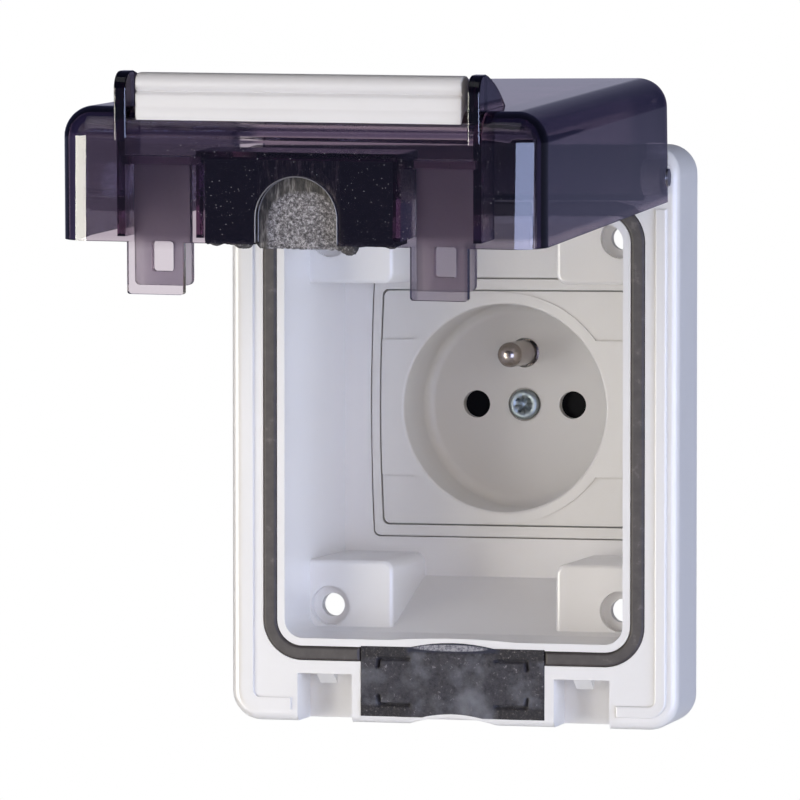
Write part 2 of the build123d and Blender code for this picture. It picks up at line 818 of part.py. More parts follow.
with BuildPart() as socket_front:
    with BuildSketch(at_depth(ledge_y)):
        with Locations((0, socket_z)):
            add(insert_outline)
    extrude(amount=insert_plate - band_step)
    # Narrow seams of the plate along both edges of the band
    with BuildSketch(at_depth(insert_front + band_step + seam_depth)):
        with Locations((0, socket_z)):
            Rectangle(insert_width, 2 * (seam_offset + seam_width))
    extrude(amount=seam_depth, mode=Mode.SUBTRACT)
    with BuildSketch(at_depth(ledge_y)):
        with Locations((0, socket_z)):
            add(insert_outline)
            Rectangle(insert_width, 2 * seam_offset, mode=Mode.INTERSECT)
    extrude(amount=insert_plate)
    with BuildSketch(at_depth(ledge_y)):
        with Locations((0, socket_z)):
            Circle(ring_dia / 2)
    extrude(amount=insert_plate)
    with BuildSketch(at_depth(ledge_y)):
        with Locations((0, socket_z)):
            Circle(well_dia / 2 + well_wall)
    extrude(amount=-(well_floor_y + well_floor - ledge_y))
    with BuildSketch(at_depth(well_floor_y)):
        with Locations((0, socket_z)):
            Circle(well_dia / 2)
    extrude(amount=well_depth + 1, mode=Mode.SUBTRACT)
    fillet(socket_front.edges().filter_by(on_well_wall).sort_by(Axis.Y)[0], well_round)
    fillet(socket_front.edges().filter_by(on_well_wall).sort_by(Axis.Y)[-1], well_floor_round)
    with BuildSketch(at_depth(well_floor_y)):
        with Locations((-pole_spacing / 2, socket_z), (pole_spacing / 2, socket_z)):
            Circle(pole_hole_dia / 2)
        with Locations((0, earth_z)):
            Circle(earth_hole_dia / 2)
        with Locations((0, socket_z)):
            Circle(screw_dia / 2 + screw_clearance)
    extrude(amount=-well_floor, mode=Mode.SUBTRACT)
    with BuildSketch(at_depth(well_floor_y)):
        with Locations((0, socket_z)):
            Circle(screw_head_dia / 2 + 3 * screw_clearance)
    extrude(amount=-screw_head_sink, mode=Mode.SUBTRACT)

socket_front.part.label = "socket_front"
export_step(socket_front.part, "parts/socket_front.step")

# Housing of the mechanism: a block behind the well, flanged against the back of the box

well_back = well_floor_y + well_floor
pole_x = pole_spacing / 2
shutter_foot = shutter_under_hole + shutter_bridge
pocket_foot = shutter_foot + shutter_travel + shutter_end_gap
shutter_half = pole_x + shutter_blade / 2
terminal_wide = clamp_width + 2 * terminal_room

with BuildPart() as mechanism_housing:
    with BuildSketch(at_depth(ledge_y)):
        with Locations((0, socket_z)):
            Rectangle(opening_width - 2 * housing_clearance, opening_height - 2 * housing_clearance)
    extrude(amount=-(box_back - ledge_y))
    with BuildSketch(at_depth(box_back)):
        with Locations((0, socket_z)):
            RectangleRounded(
                opening_width + 2 * housing_flange_lap,
                opening_height + 2 * housing_flange_lap,
                housing_corner,
            )
    extrude(amount=-housing_flange)
    with BuildSketch(at_depth(box_back)):
        with Locations((0, socket_z)):
            RectangleRounded(housing_width, housing_height, housing_corner)
    extrude(amount=-housing_depth)
    with BuildSketch(at_depth(well_back)):
        with Locations((0, socket_z)):
            Circle(well_dia / 2 + well_wall + housing_clearance)
    extrude(amount=well_back - ledge_y, mode=Mode.SUBTRACT)
    # Slide of the shutter with the narrow room of its spring below
    slide_top = shutter_over_hole + shutter_side_gap
    with BuildSketch(at_depth(shutter_back + shutter_gap)):
        with Locations((0, socket_z + (slide_top - pocket_foot) / 2)):
            Rectangle(2 * (shutter_half + shutter_side_gap), slide_top + pocket_foot)
        with Locations((0, socket_z - (shutter_foot + spring_room) / 2)):
            Rectangle(spring_dia + 2 * spring_side_gap, shutter_foot + spring_room)
    extrude(amount=shutter_back + shutter_gap - well_back, mode=Mode.SUBTRACT)
    # Seats of the contacts, the earth pin and the screw
    with BuildSketch(at_depth(shutter_back + shutter_gap)):
        with Locations((-pole_x, socket_z), (pole_x, socket_z)):
            Circle(sleeve_dia / 2)
    extrude(amount=-(terminal_y - shutter_back - shutter_gap), mode=Mode.SUBTRACT)
    with BuildSketch(at_depth(well_back)):
        with Locations((0, earth_z)):
            Circle(earth_stem_dia / 2)
    extrude(amount=-(terminal_y - well_back), mode=Mode.SUBTRACT)
    with BuildSketch(at_depth(well_back)):
        with Locations((0, socket_z)):
            Circle(screw_dia / 2)
    extrude(amount=-(screw_length + screw_head_sink - well_floor), mode=Mode.SUBTRACT)
    # Terminal rooms, open to the back
    pole_room_top = sleeve_dia / 2 + terminal_room
    earth_room_foot = earth_offset - earth_strap_foot - terminal_room
    with BuildSketch(at_depth(terminal_y)):
        with Locations(
            (-pole_x, socket_z + (pole_room_top - terminal_end) / 2),
            (pole_x, socket_z + (pole_room_top - terminal_end) / 2),
        ):
            Rectangle(terminal_wide, pole_room_top + terminal_end)
        with Locations((0, socket_z + (terminal_end + earth_room_foot) / 2)):
            Rectangle(terminal_wide, terminal_end - earth_room_foot)
    extrude(amount=-(housing_back - terminal_y), mode=Mode.SUBTRACT)

mechanism_housing.part.label = "mechanism_housing"
export_step(mechanism_housing.part, "parts/mechanism_housing.step")

# Shutter: two blades on a bridge that slides down as plug pins enter

with BuildPart() as shutter:
    with BuildSketch(at_depth(shutter_back)):
        blade_height = shutter_over_hole + shutter_under_hole
        with Locations(
            (-pole_x, socket_z + (shutter_over_hole - shutter_under_hole) / 2),
            (pole_x, socket_z + (shutter_over_hole - shutter_under_hole) / 2),
        ):
            Rectangle(shutter_blade, blade_height)
        with Locations((0, socket_z - shutter_under_hole - shutter_bridge / 2)):
            Rectangle(2 * shutter_half, shutter_bridge)
    extrude(amount=shutter_thickness)
    upper_edges = shutter.faces().sort_by(Axis.Y)[0].edges().filter_by(Axis.X).group_by(Axis.Z)[-1]
    chamfer(upper_edges, shutter_thickness / 3)

shutter.part.label = "shutter"
export_step(shutter.part, "parts/shutter.step")

# Spring of the shutter

spring_radius = (spring_dia - spring_wire) / 2
spring_foot_z = socket_z - shutter_foot - spring_room
spring_height = spring_room - spring_wire
shutter_mid_y = shutter_y + shutter_thickness / 2

with BuildPart() as shutter_spring:
    with BuildLine(Plane(origin=(0, shutter_mid_y, base_middle + spring_foot_z + spring_wire / 2))) as coil:
        Helix(spring_height / spring_turns, spring_height, spring_radius)
    with BuildSketch(coil.line ^ 0):
        Rectangle(spring_wire, spring_wire)
    sweep()

shutter_spring.part.label = "shutter_spring"
export_step(shutter_spring.part, "parts/shutter_spring.step")

def pole_contact(x):
    """A slit sleeve with the strip that leads down to its terminal."""
    with BuildPart() as contact:
        with BuildSketch(at_depth(sleeve_y)):
            with Locations((x, socket_z)):
                Circle(sleeve_dia / 2)
        extrude(amount=-sleeve_length)
        with BuildSketch(at_depth(strip_y)):
            with Locations((x, socket_z - strip_drop / 2)):
                Rectangle(strip_width, strip_drop)
        extrude(amount=-strip_thickness)
        with BuildSketch(at_depth(sleeve_y)):
            with Locations((x, socket_z)):
                Circle(sleeve_bore / 2)
            with Locations((x, socket_z + sleeve_dia / 2)):
                Rectangle(sleeve_slit, sleeve_dia)
        extrude(amount=-sleeve_length, mode=Mode.SUBTRACT)
    return contact.part


def cage_clamp(x, z):
    """A square cage round a strip, its back wall tapped for the terminal screw."""
    with BuildPart() as cage:
        with BuildSketch(at_depth(clamp_y)):
            with Locations((x, z)):
                Rectangle(clamp_width, clamp_height)
        extrude(amount=-clamp_length)
        with BuildSketch(at_depth(clamp_y + clamp_wall)):
            with Locations((x, z)):
                Rectangle(clamp_width - 2 * clamp_wall, clamp_height)
        extrude(amount=-(clamp_length - clamp_wall - clamp_nut), mode=Mode.SUBTRACT)
        with BuildSketch(at_depth(clamp_back)):
            with Locations((x, z)):
                Circle(terminal_screw_dia / 2)
        extrude(amount=clamp_nut, mode=Mode.SUBTRACT)
    return cage.part


def terminal_screw(x, z):
    """A slotted screw driven from the back through the cage."""
    with BuildPart() as screw:
        with BuildSketch(at_depth(clamp_back)):
            with Locations((x, z)):
                Circle(terminal_screw_dia / 2)
        extrude(amount=clamp_nut + terminal_screw_bite)
        with BuildSketch(at_depth(clamp_back)):
            with Locations((x, z)):
                Circle(terminal_screw_head / 2)
        extrude(amount=-terminal_screw_head_height)
        with BuildSketch(at_depth(clamp_back + terminal_screw_head_height)):
            with Locations((x, z)):
                Rectangle(terminal_slot_width, terminal_screw_head)
        extrude(amount=terminal_slot_depth, mode=Mode.SUBTRACT)
    return screw.part


# Contacts of the two poles, each with its cage clamp and screw

pole_clamp_z = socket_z - clamp_drop
for pole, pole_side in (("neutral", -pole_x), ("live", pole_x)):
    contact = pole_contact(pole_side)
    contact.label = f"{pole}_contact"
    export_step(contact, f"parts/{pole}_contact.step")
    clamp = cage_clamp(pole_side, pole_clamp_z)
    clamp.label = f"{pole}_clamp"
    export_step(clamp, f"parts/{pole}_clamp.step")
    screw = terminal_screw(pole_side, pole_clamp_z)
    screw.label = f"{pole}_terminal_screw"
    export_step(screw, f"parts/{pole}_terminal_screw.step")

# Earth pin: a domed pin that stands out in the well, on a strap that leads up to its terminal

earth_clamp_z = earth_z + earth_clamp_rise

with BuildPart() as earth_pin:
    with BuildSketch(at_depth(well_floor_y)):
        with Locations((0, earth_z)):
            Circle(earth_pin_dia / 2)
    extrude(amount=earth_pin_reach)
    fillet(earth_pin.faces().sort_by(Axis.Y)[0].edges(), earth_tip_round)
    with BuildSketch(at_depth(well_floor_y)):
        with Locations((0, earth_z)):
            Circle(earth_neck_dia / 2)
    extrude(amount=-well_floor)
    with BuildSketch(at_depth(well_back)):
        with Locations((0, earth_z)):
            Circle(earth_stem_dia / 2)
    extrude(amount=-(strip_y + strip_thickness - well_back))

earth_pin.part.label = "earth_pin"
export_step(earth_pin.part, "parts/earth_pin.step")

with BuildPart() as earth_strap:
    strap_top = earth_clamp_rise + clamp_height / 2
    with BuildSketch(at_depth(strip_y)):
        with Locations((0, earth_z)):
            Rectangle(earth_strap_width, 2 * earth_strap_foot)
        with Locations((0, earth_z + strap_top / 2)):
            Rectangle(strip_width, strap_top)
        with Locations((0, earth_z)):
            Circle(earth_stem_dia / 2, mode=Mode.SUBTRACT)
    extrude(amount=-strip_thickness)

earth_strap.part.label = "earth_strap"
export_step(earth_strap.part, "parts/earth_strap.step")

earth_clamp = cage_clamp(0, earth_clamp_z)
earth_clamp.label = "earth_clamp"
export_step(earth_clamp, "parts/earth_clamp.step")
earth_terminal_screw = terminal_screw(0, earth_clamp_z)
earth_terminal_screw.label = "earth_terminal_screw"
export_step(earth_terminal_screw, "parts/earth_terminal_screw.step")

# Screw in the middle of the well: a domed head with a cross recess

head_y = well_floor_y + screw_head_sink

with BuildPart() as centre_screw:
    with BuildSketch(at_depth(head_y)):
        with Locations((0, socket_z)):
            Circle(screw_head_dia / 2)
    extrude(amount=screw_head_height)
    fillet(centre_screw.faces().sort_by(Axis.Y)[0].edges(), screw_head_round)
    with BuildSketch(at_depth(head_y)):
        with Locations((0, socket_z)):
            Circle(screw_dia / 2)
    extrude(amount=-screw_length)
    with BuildSketch(at_depth(head_y - screw_head_height)):
        with Locations((0, socket_z)):
            Rectangle(cross_reach, cross_width, rotation=cross_turn)
            Rectangle(cross_width, cross_reach, rotation=cross_turn)
    extrude(amount=-cross_depth, taper=cross_taper, mode=Mode.SUBTRACT)
    with BuildSketch(at_depth(head_y - screw_head_height)):
        with Locations((0, socket_z)):
            Rectangle(cross_reach, tick_width, rotation=cross_turn + 45)
            Rectangle(tick_width, cross_reach, rotation=cross_turn + 45)
    extrude(amount=-tick_depth, mode=Mode.SUBTRACT)

centre_screw.part.label = "centre_screw"
export_step(centre_screw.part, "parts/centre_screw.step")
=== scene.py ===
import json
import math

import bmesh
import bpy
from mathutils import Matrix, Vector, noise


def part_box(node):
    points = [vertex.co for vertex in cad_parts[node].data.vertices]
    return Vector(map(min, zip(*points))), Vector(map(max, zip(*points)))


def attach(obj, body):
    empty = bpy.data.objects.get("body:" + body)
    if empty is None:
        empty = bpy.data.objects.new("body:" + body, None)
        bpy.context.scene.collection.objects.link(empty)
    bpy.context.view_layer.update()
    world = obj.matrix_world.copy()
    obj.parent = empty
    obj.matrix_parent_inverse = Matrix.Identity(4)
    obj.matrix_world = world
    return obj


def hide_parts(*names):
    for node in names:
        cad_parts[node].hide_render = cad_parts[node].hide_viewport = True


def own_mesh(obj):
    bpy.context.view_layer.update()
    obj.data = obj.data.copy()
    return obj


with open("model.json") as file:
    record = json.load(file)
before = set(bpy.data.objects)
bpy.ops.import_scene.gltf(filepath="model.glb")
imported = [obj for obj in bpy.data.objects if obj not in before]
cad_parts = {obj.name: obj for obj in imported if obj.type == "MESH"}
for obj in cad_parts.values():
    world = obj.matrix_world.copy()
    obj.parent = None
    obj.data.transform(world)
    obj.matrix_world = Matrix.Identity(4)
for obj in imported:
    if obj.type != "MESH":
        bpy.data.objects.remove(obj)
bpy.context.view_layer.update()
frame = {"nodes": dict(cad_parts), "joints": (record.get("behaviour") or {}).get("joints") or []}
nodes = frame["nodes"]

# Enclosure: one light-grey moulding in a tough, slightly glossy plastic. Flange, recessed box,
# corner bosses, latch pockets and hinge ears come out of one mould, with a fine satin skin.


def add_node(tree, kind, x, y, **inputs):
    """A shader node at a place in the tree, with plain values set on its sockets."""
    node = tree.nodes.new(kind)
    node.location = (x, y)
    for name, value in inputs.items():
        node.inputs[name.replace("_", " ")].default_value = value
    return node


def new_finish(name):
    """An empty procedural finish: its tree, its Principled shader and its Object coordinates."""
    finish = bpy.data.materials.new(name)
    finish.use_nodes = True
    tree = finish.node_tree
    shader = tree.nodes["Principled BSDF"]
    place = add_node(tree, "ShaderNodeTexCoord", -1100, 0)
    return finish, tree, shader, place.outputs["Object"]


def add_noise(tree, place, scale, detail, x, y, roughness=0.55):
    """A noise pattern on Object coordinates, with scale in features per metre."""
    pattern = add_node(tree, "ShaderNodeTexNoise", x, y, Scale=scale, Detail=detail)
    pattern.inputs["Roughness"].default_value = roughness
    tree.links.new(place, pattern.inputs["Vector"])
    return pattern


def add_ramp(tree, source, stops, x, y):
    """A colour ramp over a pattern, given as (place, colour) stops."""
    ramp = add_node(tree, "ShaderNodeValToRGB", x, y)
    points = ramp.color_ramp.elements
    while len(points) < len(stops):
        points.new(0.5)
    for point, (where, colour) in zip(points, stops):
        point.position = where
        point.color = (*colour, 1.0)
    tree.links.new(source, ramp.inputs["Fac"])
    return ramp


def add_bump(tree, shader, height, strength, distance, x=-260, y=-320):
    """A bump on the shader from a height pattern, with its depth in metres."""
    bump = add_node(tree, "ShaderNodeBump", x, y, Strength=strength, Distance=distance)
    tree.links.new(height, bump.inputs["Height"])
    tree.links.new(bump.outputs["Normal"], shader.inputs["Normal"])
    return bump


def moulded_plastic(name, colour, shade, roughness, skin):
    """Moulded plastic: a broad faint mottle in the colour and a fine satin skin."""
    mottle_scale = 55.0
    grain_scale = 2600.0
    grain_depth = 0.00004
    polish_spread = 0.05
    finish, tree, shader, place = new_finish(name)
    mottle = add_noise(tree, place, mottle_scale, 3.0, -860, 220)
    colours = add_ramp(tree, mottle.outputs["Fac"], [(0.3, shade), (0.7, colour)], -620, 220)
    tree.links.new(colours.outputs["Color"], shader.inputs["Base Color"])
    grain = add_noise(tree, place, grain_scale, 2.0, -860, -120)
    polish = add_node(tree, "ShaderNodeMapRange", -620, -120)
    polish.inputs["To Min"].default_value = roughness - polish_spread
    polish.inputs["To Max"].default_value = roughness + polish_spread
    tree.links.new(grain.outputs["Fac"], polish.inputs["Value"])
    tree.links.new(polish.outputs["Result"], shader.inputs["Roughness"])
    add_bump(tree, shader, grain.outputs["Fac"], skin, grain_depth)
    return finish


def dress(node_name, finish):
    """Gives a CAD piece its finish in every material slot."""
    piece = nodes[node_name]
    if not piece.material_slots:
        piece.data.materials.append(finish)
    for slot in piece.material_slots:
        slot.material = finish
    return piece


base_grey = moulded_plastic(
    "base_grey_moulding", (0.84, 0.83, 0.83), (0.82, 0.81, 0.81), 0.30, 0.03
)
dress("base", base_grey)

# Seals: dark rubber cords pressed into the groove round the recess and into the groove of the
# flange's back face. Rubber is matt, with a dusty bloom.

seal_rubber, tree, shader, place = new_finish("seal_rubber")
bloom = add_noise(tree, place, 420.0, 5.0, -860, 200)
bloom_colours = add_ramp(
    tree,
    bloom.outputs["Fac"],
    [(0.35, (0.034, 0.026, 0.023)), (0.6, (0.050, 0.040, 0.036)), (0.78, (0.14, 0.12, 0.11))],
    -620,
    200,
)
tree.links.new(bloom_colours.outputs["Color"], shader.inputs["Base Color"])
shader.inputs["Roughness"].default_value = 0.62
pores = add_noise(tree, place, 2200.0, 3.0, -860, -160)
add_bump(tree, shader, pores.outputs["Fac"], 0.4, 0.0001)
dress("lid_seal", seal_rubber)
dress("panel_seal", seal_rubber)

# Hinge pins: two short lengths of drawn steel wire pressed into the ears, one at each side. The
# marks left by the drawing die run along the wire.


def metal(name, colour, dark, roughness, scale, streak=(1.0, 1.0, 1.0), bump=0.15):
    """Bare metal: streaked or speckled between two tones, with fine drawing marks."""
    finish, tree, shader, place = new_finish(name)
    stretch = add_node(tree, "ShaderNodeMapping", -900, 100)
    stretch.inputs["Scale"].default_value = streak
    tree.links.new(place, stretch.inputs["Vector"])
    marks = add_noise(tree, stretch.outputs["Vector"], scale, 4.0, -700, 100)
    tones = add_ramp(tree, marks.outputs["Fac"], [(0.3, dark), (0.7, colour)], -480, 100)
    tree.links.new(tones.outputs["Color"], shader.inputs["Base Color"])
    shader.inputs["Metallic"].default_value = 1.0
    worn = add_node(tree, "ShaderNodeMapRange", -480, -160)
    worn.inputs["To Min"].default_value = roughness * 0.75
    worn.inputs["To Max"].default_value = roughness * 1.3
    tree.links.new(marks.outputs["Fac"], worn.inputs["Value"])
    tree.links.new(worn.outputs["Result"], shader.inputs["Roughness"])
    add_bump(tree, shader, marks.outputs["Fac"], bump, 0.00003)
    return finish


drawn_steel = metal(
    "drawn_steel", (0.62, 0.61, 0.60), (0.42, 0.41, 0.40), 0.32, 1500.0, (0.1, 1.0, 1.0)
)
dress("hinge_pin_left", drawn_steel)
dress("hinge_pin_right", drawn_steel)

# Mechanism behind the well: a grey moulded housing that carries brass contacts, zinc-plated cage
# clamps with slotted screws, and a dark shutter that a thin coil spring holds up.

weld_gap = 0.000002
sharp_angle = math.radians(32.0)


def smooth_piece(name, work):
    """A piece of its own from a worked mesh, shaded smooth and linked to the scene."""
    mesh = bpy.data.meshes.new(name)
    work.to_mesh(mesh)
    work.free()
    mesh.polygons.foreach_set("use_smooth", [True] * len(mesh.polygons))
    piece = bpy.data.objects.new(name, mesh)
    bpy.context.scene.collection.objects.link(piece)
    return piece


def merged_copy(node_name, name, finish, turn=None):
    """A copy of a CAD piece with its corners joined, turned about its middle where asked."""
    work = bmesh.new()
    work.from_mesh(nodes[node_name].data)
    bmesh.ops.remove_doubles(work, verts=work.verts, dist=weld_gap)
    if turn:
        low, high = (Vector(corner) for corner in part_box(node_name))
        bmesh.ops.rotate(work, cent=(low + high) / 2, matrix=turn, verts=work.verts)
    piece = smooth_piece(name, work)
    piece.data.set_sharp_from_angle(angle=sharp_angle)
    piece.data.materials.clear()
    piece.data.materials.append(finish)
    return piece


housing_grey = moulded_plastic(
    "housing_grey_moulding", (0.56, 0.56, 0.57), (0.49, 0.49, 0.50), 0.45, 0.3
)
dress("mechanism_housing", housing_grey)
# The shutter is near black and almost without gloss: its own black, and painted shade for the deep
# pin holes in front of it.
shutter_black_and_shade = moulded_plastic(
    "shutter_black_moulding", (0.006, 0.006, 0.007), (0.003, 0.003, 0.004), 0.45, 0.3
)
gloss = shutter_black_and_shade.node_tree.nodes["Principled BSDF"]
gloss.inputs["Specular IOR Level"].default_value = 0.05
dress("shutter", shutter_black_and_shade)
spring_wire = metal("spring_wire", (0.58, 0.58, 0.60), (0.36, 0.36, 0.38), 0.3, 3000.0)
spring_coil = merged_copy("shutter_spring", "shutter_spring_coil", spring_wire)
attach(spring_coil, "enclosure")
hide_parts("shutter_spring")
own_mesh(spring_coil)
contact_brass = metal("contact_brass", (0.78, 0.60, 0.30), (0.56, 0.41, 0.19), 0.34, 700.0)
for node_name in ("live_contact", "neutral_contact", "earth_strap"):
    dress(node_name, contact_brass)
zinc_plate = metal("zinc_plate", (0.74, 0.76, 0.79), (0.50, 0.52, 0.56), 0.30, 900.0)
for pole in ("live", "neutral", "earth"):
    dress(pole + "_clamp", zinc_plate)
    dress(pole + "_terminal_screw", zinc_plate)

# Socket front and its adapter frame: light-grey mouldings a shade warmer than the enclosure,
# clipped into the back wall of the recess.

insert_grey = moulded_plastic(
    "insert_grey_moulding", (0.80, 0.785, 0.765), (0.78, 0.765, 0.745), 0.50, 0.03
)
dress("adapter_frame", insert_grey)
dress("socket_front", insert_grey)

# Earth pin: turned brass under bright nickel, domed at its tip. The centre screw is zinc plated,
# with a cross recess in its domed head, and stops part of a turn round when it is tight.

nickel = metal(
    "nickel_plate", (0.40, 0.345, 0.31), (0.29, 0.25, 0.22), 0.24, 1200.0, (1.0, 0.15, 1.0), 0.08
)
dress("earth_pin", nickel)
screw_zinc = metal("screw_zinc", (0.36, 0.40, 0.40), (0.25, 0.285, 0.295), 0.38, 1400.0)
screw_turn = Matrix.Rotation(math.radians(-42.0), 3, "Y")
centre_screw = merged_copy("centre_screw", "centre_screw_turned", screw_zinc, screw_turn)
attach(centre_screw, "enclosure")
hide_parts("centre_screw")

# Foam block of the enclosure: cut from soft cellular rubber and pushed into its pocket. Its skin
# is dusty, and short knife cuts near the corners let it close round a cable.


def add_sum(tree, operation, x, y, *terms):
    """A Math node whose terms are plain numbers or the outputs of other nodes."""
    node = add_node(tree, "ShaderNodeMath", x, y)
    node.operation = operation
    for socket, term in zip(node.inputs, terms):
        if isinstance(term, (int, float)):
            socket.default_value = term
        else:
            tree.links.new(term, socket)
    return node.outputs["Value"]


def add_range(tree, source, low, high, x, y):
    """A clamped slope from 0 where the source is low to 1 where it is high."""
    node = add_node(tree, "ShaderNodeMapRange", x, y)
    node.inputs["From Min"].default_value = low
    node.inputs["From Max"].default_value = high
    tree.links.new(source, node.inputs["Value"])
    return node.outputs["Result"]


def add_mix(tree, factor, first, second, x, y):
    """A mix of two colours, each a plain colour or the output of another node."""
    node = add_node(tree, "ShaderNodeMix", x, y)
    node.data_type = "RGBA"
    tree.links.new(factor, node.inputs["Factor"])
    for name, term in (("A", first), ("B", second)):
        if isinstance(term, tuple):
            node.inputs[name].default_value = (*term, 1.0)
        else:
            tree.links.new(term, node.inputs[name])
    return node.outputs["Result"]


def foam_finish(name, dark, mid, dust, dust_share, speck):
    """Cut cellular rubber: dark pores, a mid tone and pale dust, rough all over."""
    finish, tree, shader, place = new_finish(name)
    cells = add_noise(tree, place, speck, 6.0, -860, 240, 0.75)
    tones = add_ramp(
        tree,
        cells.outputs["Fac"],
        [(0.34, dark), (0.52, mid), (dust_share, mid), (min(dust_share + 0.1, 1.0), dust)],
        -620,
        240,
    )
    tree.links.new(tones.outputs["Color"], shader.inputs["Base Color"])
    shader.inputs["Roughness"].default_value = 0.85
    pits = add_noise(tree, place, speck * 1.6, 4.0, -860, -160, 0.7)
    add_bump(tree, shader, pits.outputs["Fac"], 0.9, 0.0003)
    return finish, tree, shader, place, tones.outputs["Color"]


base_foam_low, base_foam_high = (Vector(corner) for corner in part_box("base_foam"))
foam_swell = 0.0008
foam_middle_z = (base_foam_low.z + base_foam_high.z - foam_swell) / 2
cut_corner_x = 0.0139
cut_corner_rise = 0.0042
cut_run = 0.0056
margin_slope = (cut_corner_rise - 0.0003, cut_corner_rise + 0.0004)
corner_slope = (cut_corner_x - cut_run - 0.001, cut_corner_x - cut_run + 0.0006)
flake_half = 0.0069
flake_rise = 0.00062
flake_shift = 0.05
flake_middle = base_foam_high.z - 0.00085
flake_slope = (1.15, 0.75)
swell_slope = (base_foam_high.z - 0.0019, base_foam_high.z - 0.0015)
swell_end_slope = (0.0092, 0.0080)

base_foam_finish, tree, shader, place, tones = foam_finish(
    "base_foam_rubber",
    (0.010, 0.009, 0.012),
    (0.040, 0.036, 0.042),
    (0.26, 0.24, 0.255),
    0.59,
    1300.0,
)
smudge = add_noise(tree, place, 170.0, 4.0, -860, 480)
smudge_share = add_range(tree, smudge.outputs["Fac"], 0.46, 0.74, -620, 480)
tones = add_mix(tree, smudge_share, tones, (0.165, 0.167, 0.190), -420, 420)
spot = add_node(tree, "ShaderNodeSeparateXYZ", -860, 760)
tree.links.new(place, spot.inputs["Vector"])
off_middle = add_sum(tree, "SUBTRACT", -700, 760, spot.outputs["Z"], foam_middle_z)
off_middle = add_sum(tree, "ABSOLUTE", -560, 760, off_middle)
off_side = add_sum(tree, "ABSOLUTE", -560, 880, spot.outputs["X"])
in_margin = add_range(tree, off_middle, *margin_slope, -400, 760)
in_corner = add_range(tree, off_side, *corner_slope, -400, 880)
margin = add_sum(tree, "MULTIPLY", -240, 820, in_margin, in_corner)
crumble = add_noise(tree, place, 1700.0, 6.0, -860, 1040, 0.8)
crumbled = add_ramp(
    tree,
    crumble.outputs["Fac"],
    [(0.44, (0.010, 0.008, 0.009)), (0.58, (0.032, 0.026, 0.025)), (0.70, (0.30, 0.27, 0.25))],
    -620,
    1040,
)
tones = add_mix(tree, margin, tones, crumbled.outputs["Color"], -80, 600)
flake_x = add_sum(tree, "MULTIPLY_ADD", -700, 1240, spot.outputs["X"], 1 / flake_half, flake_shift)
flake_z = add_sum(
    tree, "MULTIPLY_ADD", -700, 1360, spot.outputs["Z"], 1 / flake_rise, -flake_middle / flake_rise
)
flake_x = add_sum(tree, "POWER", -560, 1240, add_sum(tree, "ABSOLUTE", -630, 1240, flake_x), 2.0)
flake_z = add_sum(tree, "POWER", -560, 1360, add_sum(tree, "ABSOLUTE", -630, 1360, flake_z), 2.0)
flake_out = add_sum(tree, "ADD", -420, 1300, flake_x, flake_z)
in_swell = add_range(tree, spot.outputs["Z"], *swell_slope, -280, 1360)
near_swell = add_range(tree, off_side, *swell_end_slope, -280, 1480)
swell_edge = add_sum(tree, "MULTIPLY", -140, 1420, in_swell, near_swell)
tones = add_mix(tree, swell_edge, tones, (0.016, 0.017, 0.034), 80, 700)
flake = add_ramp(
    tree,
    crumble.outputs["Fac"],
    [(0.40, (0.10, 0.10, 0.13)), (0.56, (0.40, 0.39, 0.42))],
    -420,
    1140,
)
in_flake = add_range(tree, flake_out, *flake_slope, -280, 1240)
tones = add_mix(tree, in_flake, tones, flake.outputs["Color"], 240, 700)
tree.links.new(tones, shader.inputs["Base Color"])

foam_step = 0.00022


def cell_corners(grid, row, column):
    """The four corners of a cell in a grid of points, in their order round it."""
    return (
        grid[row][column],
        grid[row][column + 1],
        grid[row + 1][column + 1],
        grid[row + 1][column],
    )


def foam_block(name, corner_low, corner_high, front_low, front_high, shape, place=None):
    """A block with a worked front face on a fine grid, plain sides and a plain back.

    The front is the face towards -Y. shape(x, z) gives its depth behind the front plane, and
    front_low(x) and front_high(x) the heights of its lower and upper edges. place moves the
    finished block from a frame of its own.
    """
    width = corner_high[0] - corner_low[0]
    height = corner_high[2] - corner_low[2]
    columns = int(width / foam_step)
    rows = int(height / foam_step)
    work = bmesh.new()
    grid = []
    for row in range(rows + 1):
        line = []
        for column in range(columns + 1):
            x = corner_low[0] + width * column / columns
            low = front_low(x)
            z = low + (front_high(x) - low) * row / rows
            line.append(work.verts.new((x, corner_low[1] + shape(x, z), z)))
        grid.append(line)
    for row in range(rows):
        for column in range(columns):
            work.faces.new(cell_corners(grid, row, column))
    rim = (
        grid[0]
        + [grid[row][columns] for row in range(1, rows + 1)]
        + [grid[rows][column] for column in range(columns - 1, -1, -1)]
        + [grid[row][0] for row in range(rows - 1, 0, -1)]
    )
    back = [work.verts.new((vert.co.x, corner_high[1], vert.co.z)) for vert in rim]
    for index, vert in enumerate(rim):
        after = (index + 1) % len(rim)
        work.faces.new((rim[after], vert, back[index], back[after]))
    work.faces.new(back)
    bmesh.ops.recalc_face_normals(work, faces=work.faces)
    if place:
        for vert in work.verts:
            vert.co = place(vert.co)
    return smooth_piece(name, work)


def lump(x, z, scale, seed):
    """Smooth seeded noise over the front of a foam block, from about -1 to 1."""
    return noise.noise(Vector((x * scale, z * scale, seed)))


tick_lean = 0.0002
tick_run = 0.0015
knife_cuts = []
for side in (-1, 1):
    for end in (-1, 1):
        corner_x = side * cut_corner_x
        corner_z = foam_middle_z + end * cut_corner_rise
        tick_end = (corner_x + side * tick_lean, corner_z - end * tick_run)
        knife_cuts.append(((corner_x, corner_z), (corner_x - side * cut_run, corner_z)))
        knife_cuts.append(((corner_x, corner_z), tick_end))


def cut_distance(x, z, cut):
    """Distance from a point to a knife cut."""
    (ax, az), (bx, bz) = cut
    along = ((x - ax) * (bx - ax) + (z - az) * (bz - az)) / ((bx - ax) ** 2 + (bz - az) ** 2)
    along = max(0.0, min(1.0, along))
    return math.hypot(x - ax - along * (bx - ax), z - az - along * (bz - az))


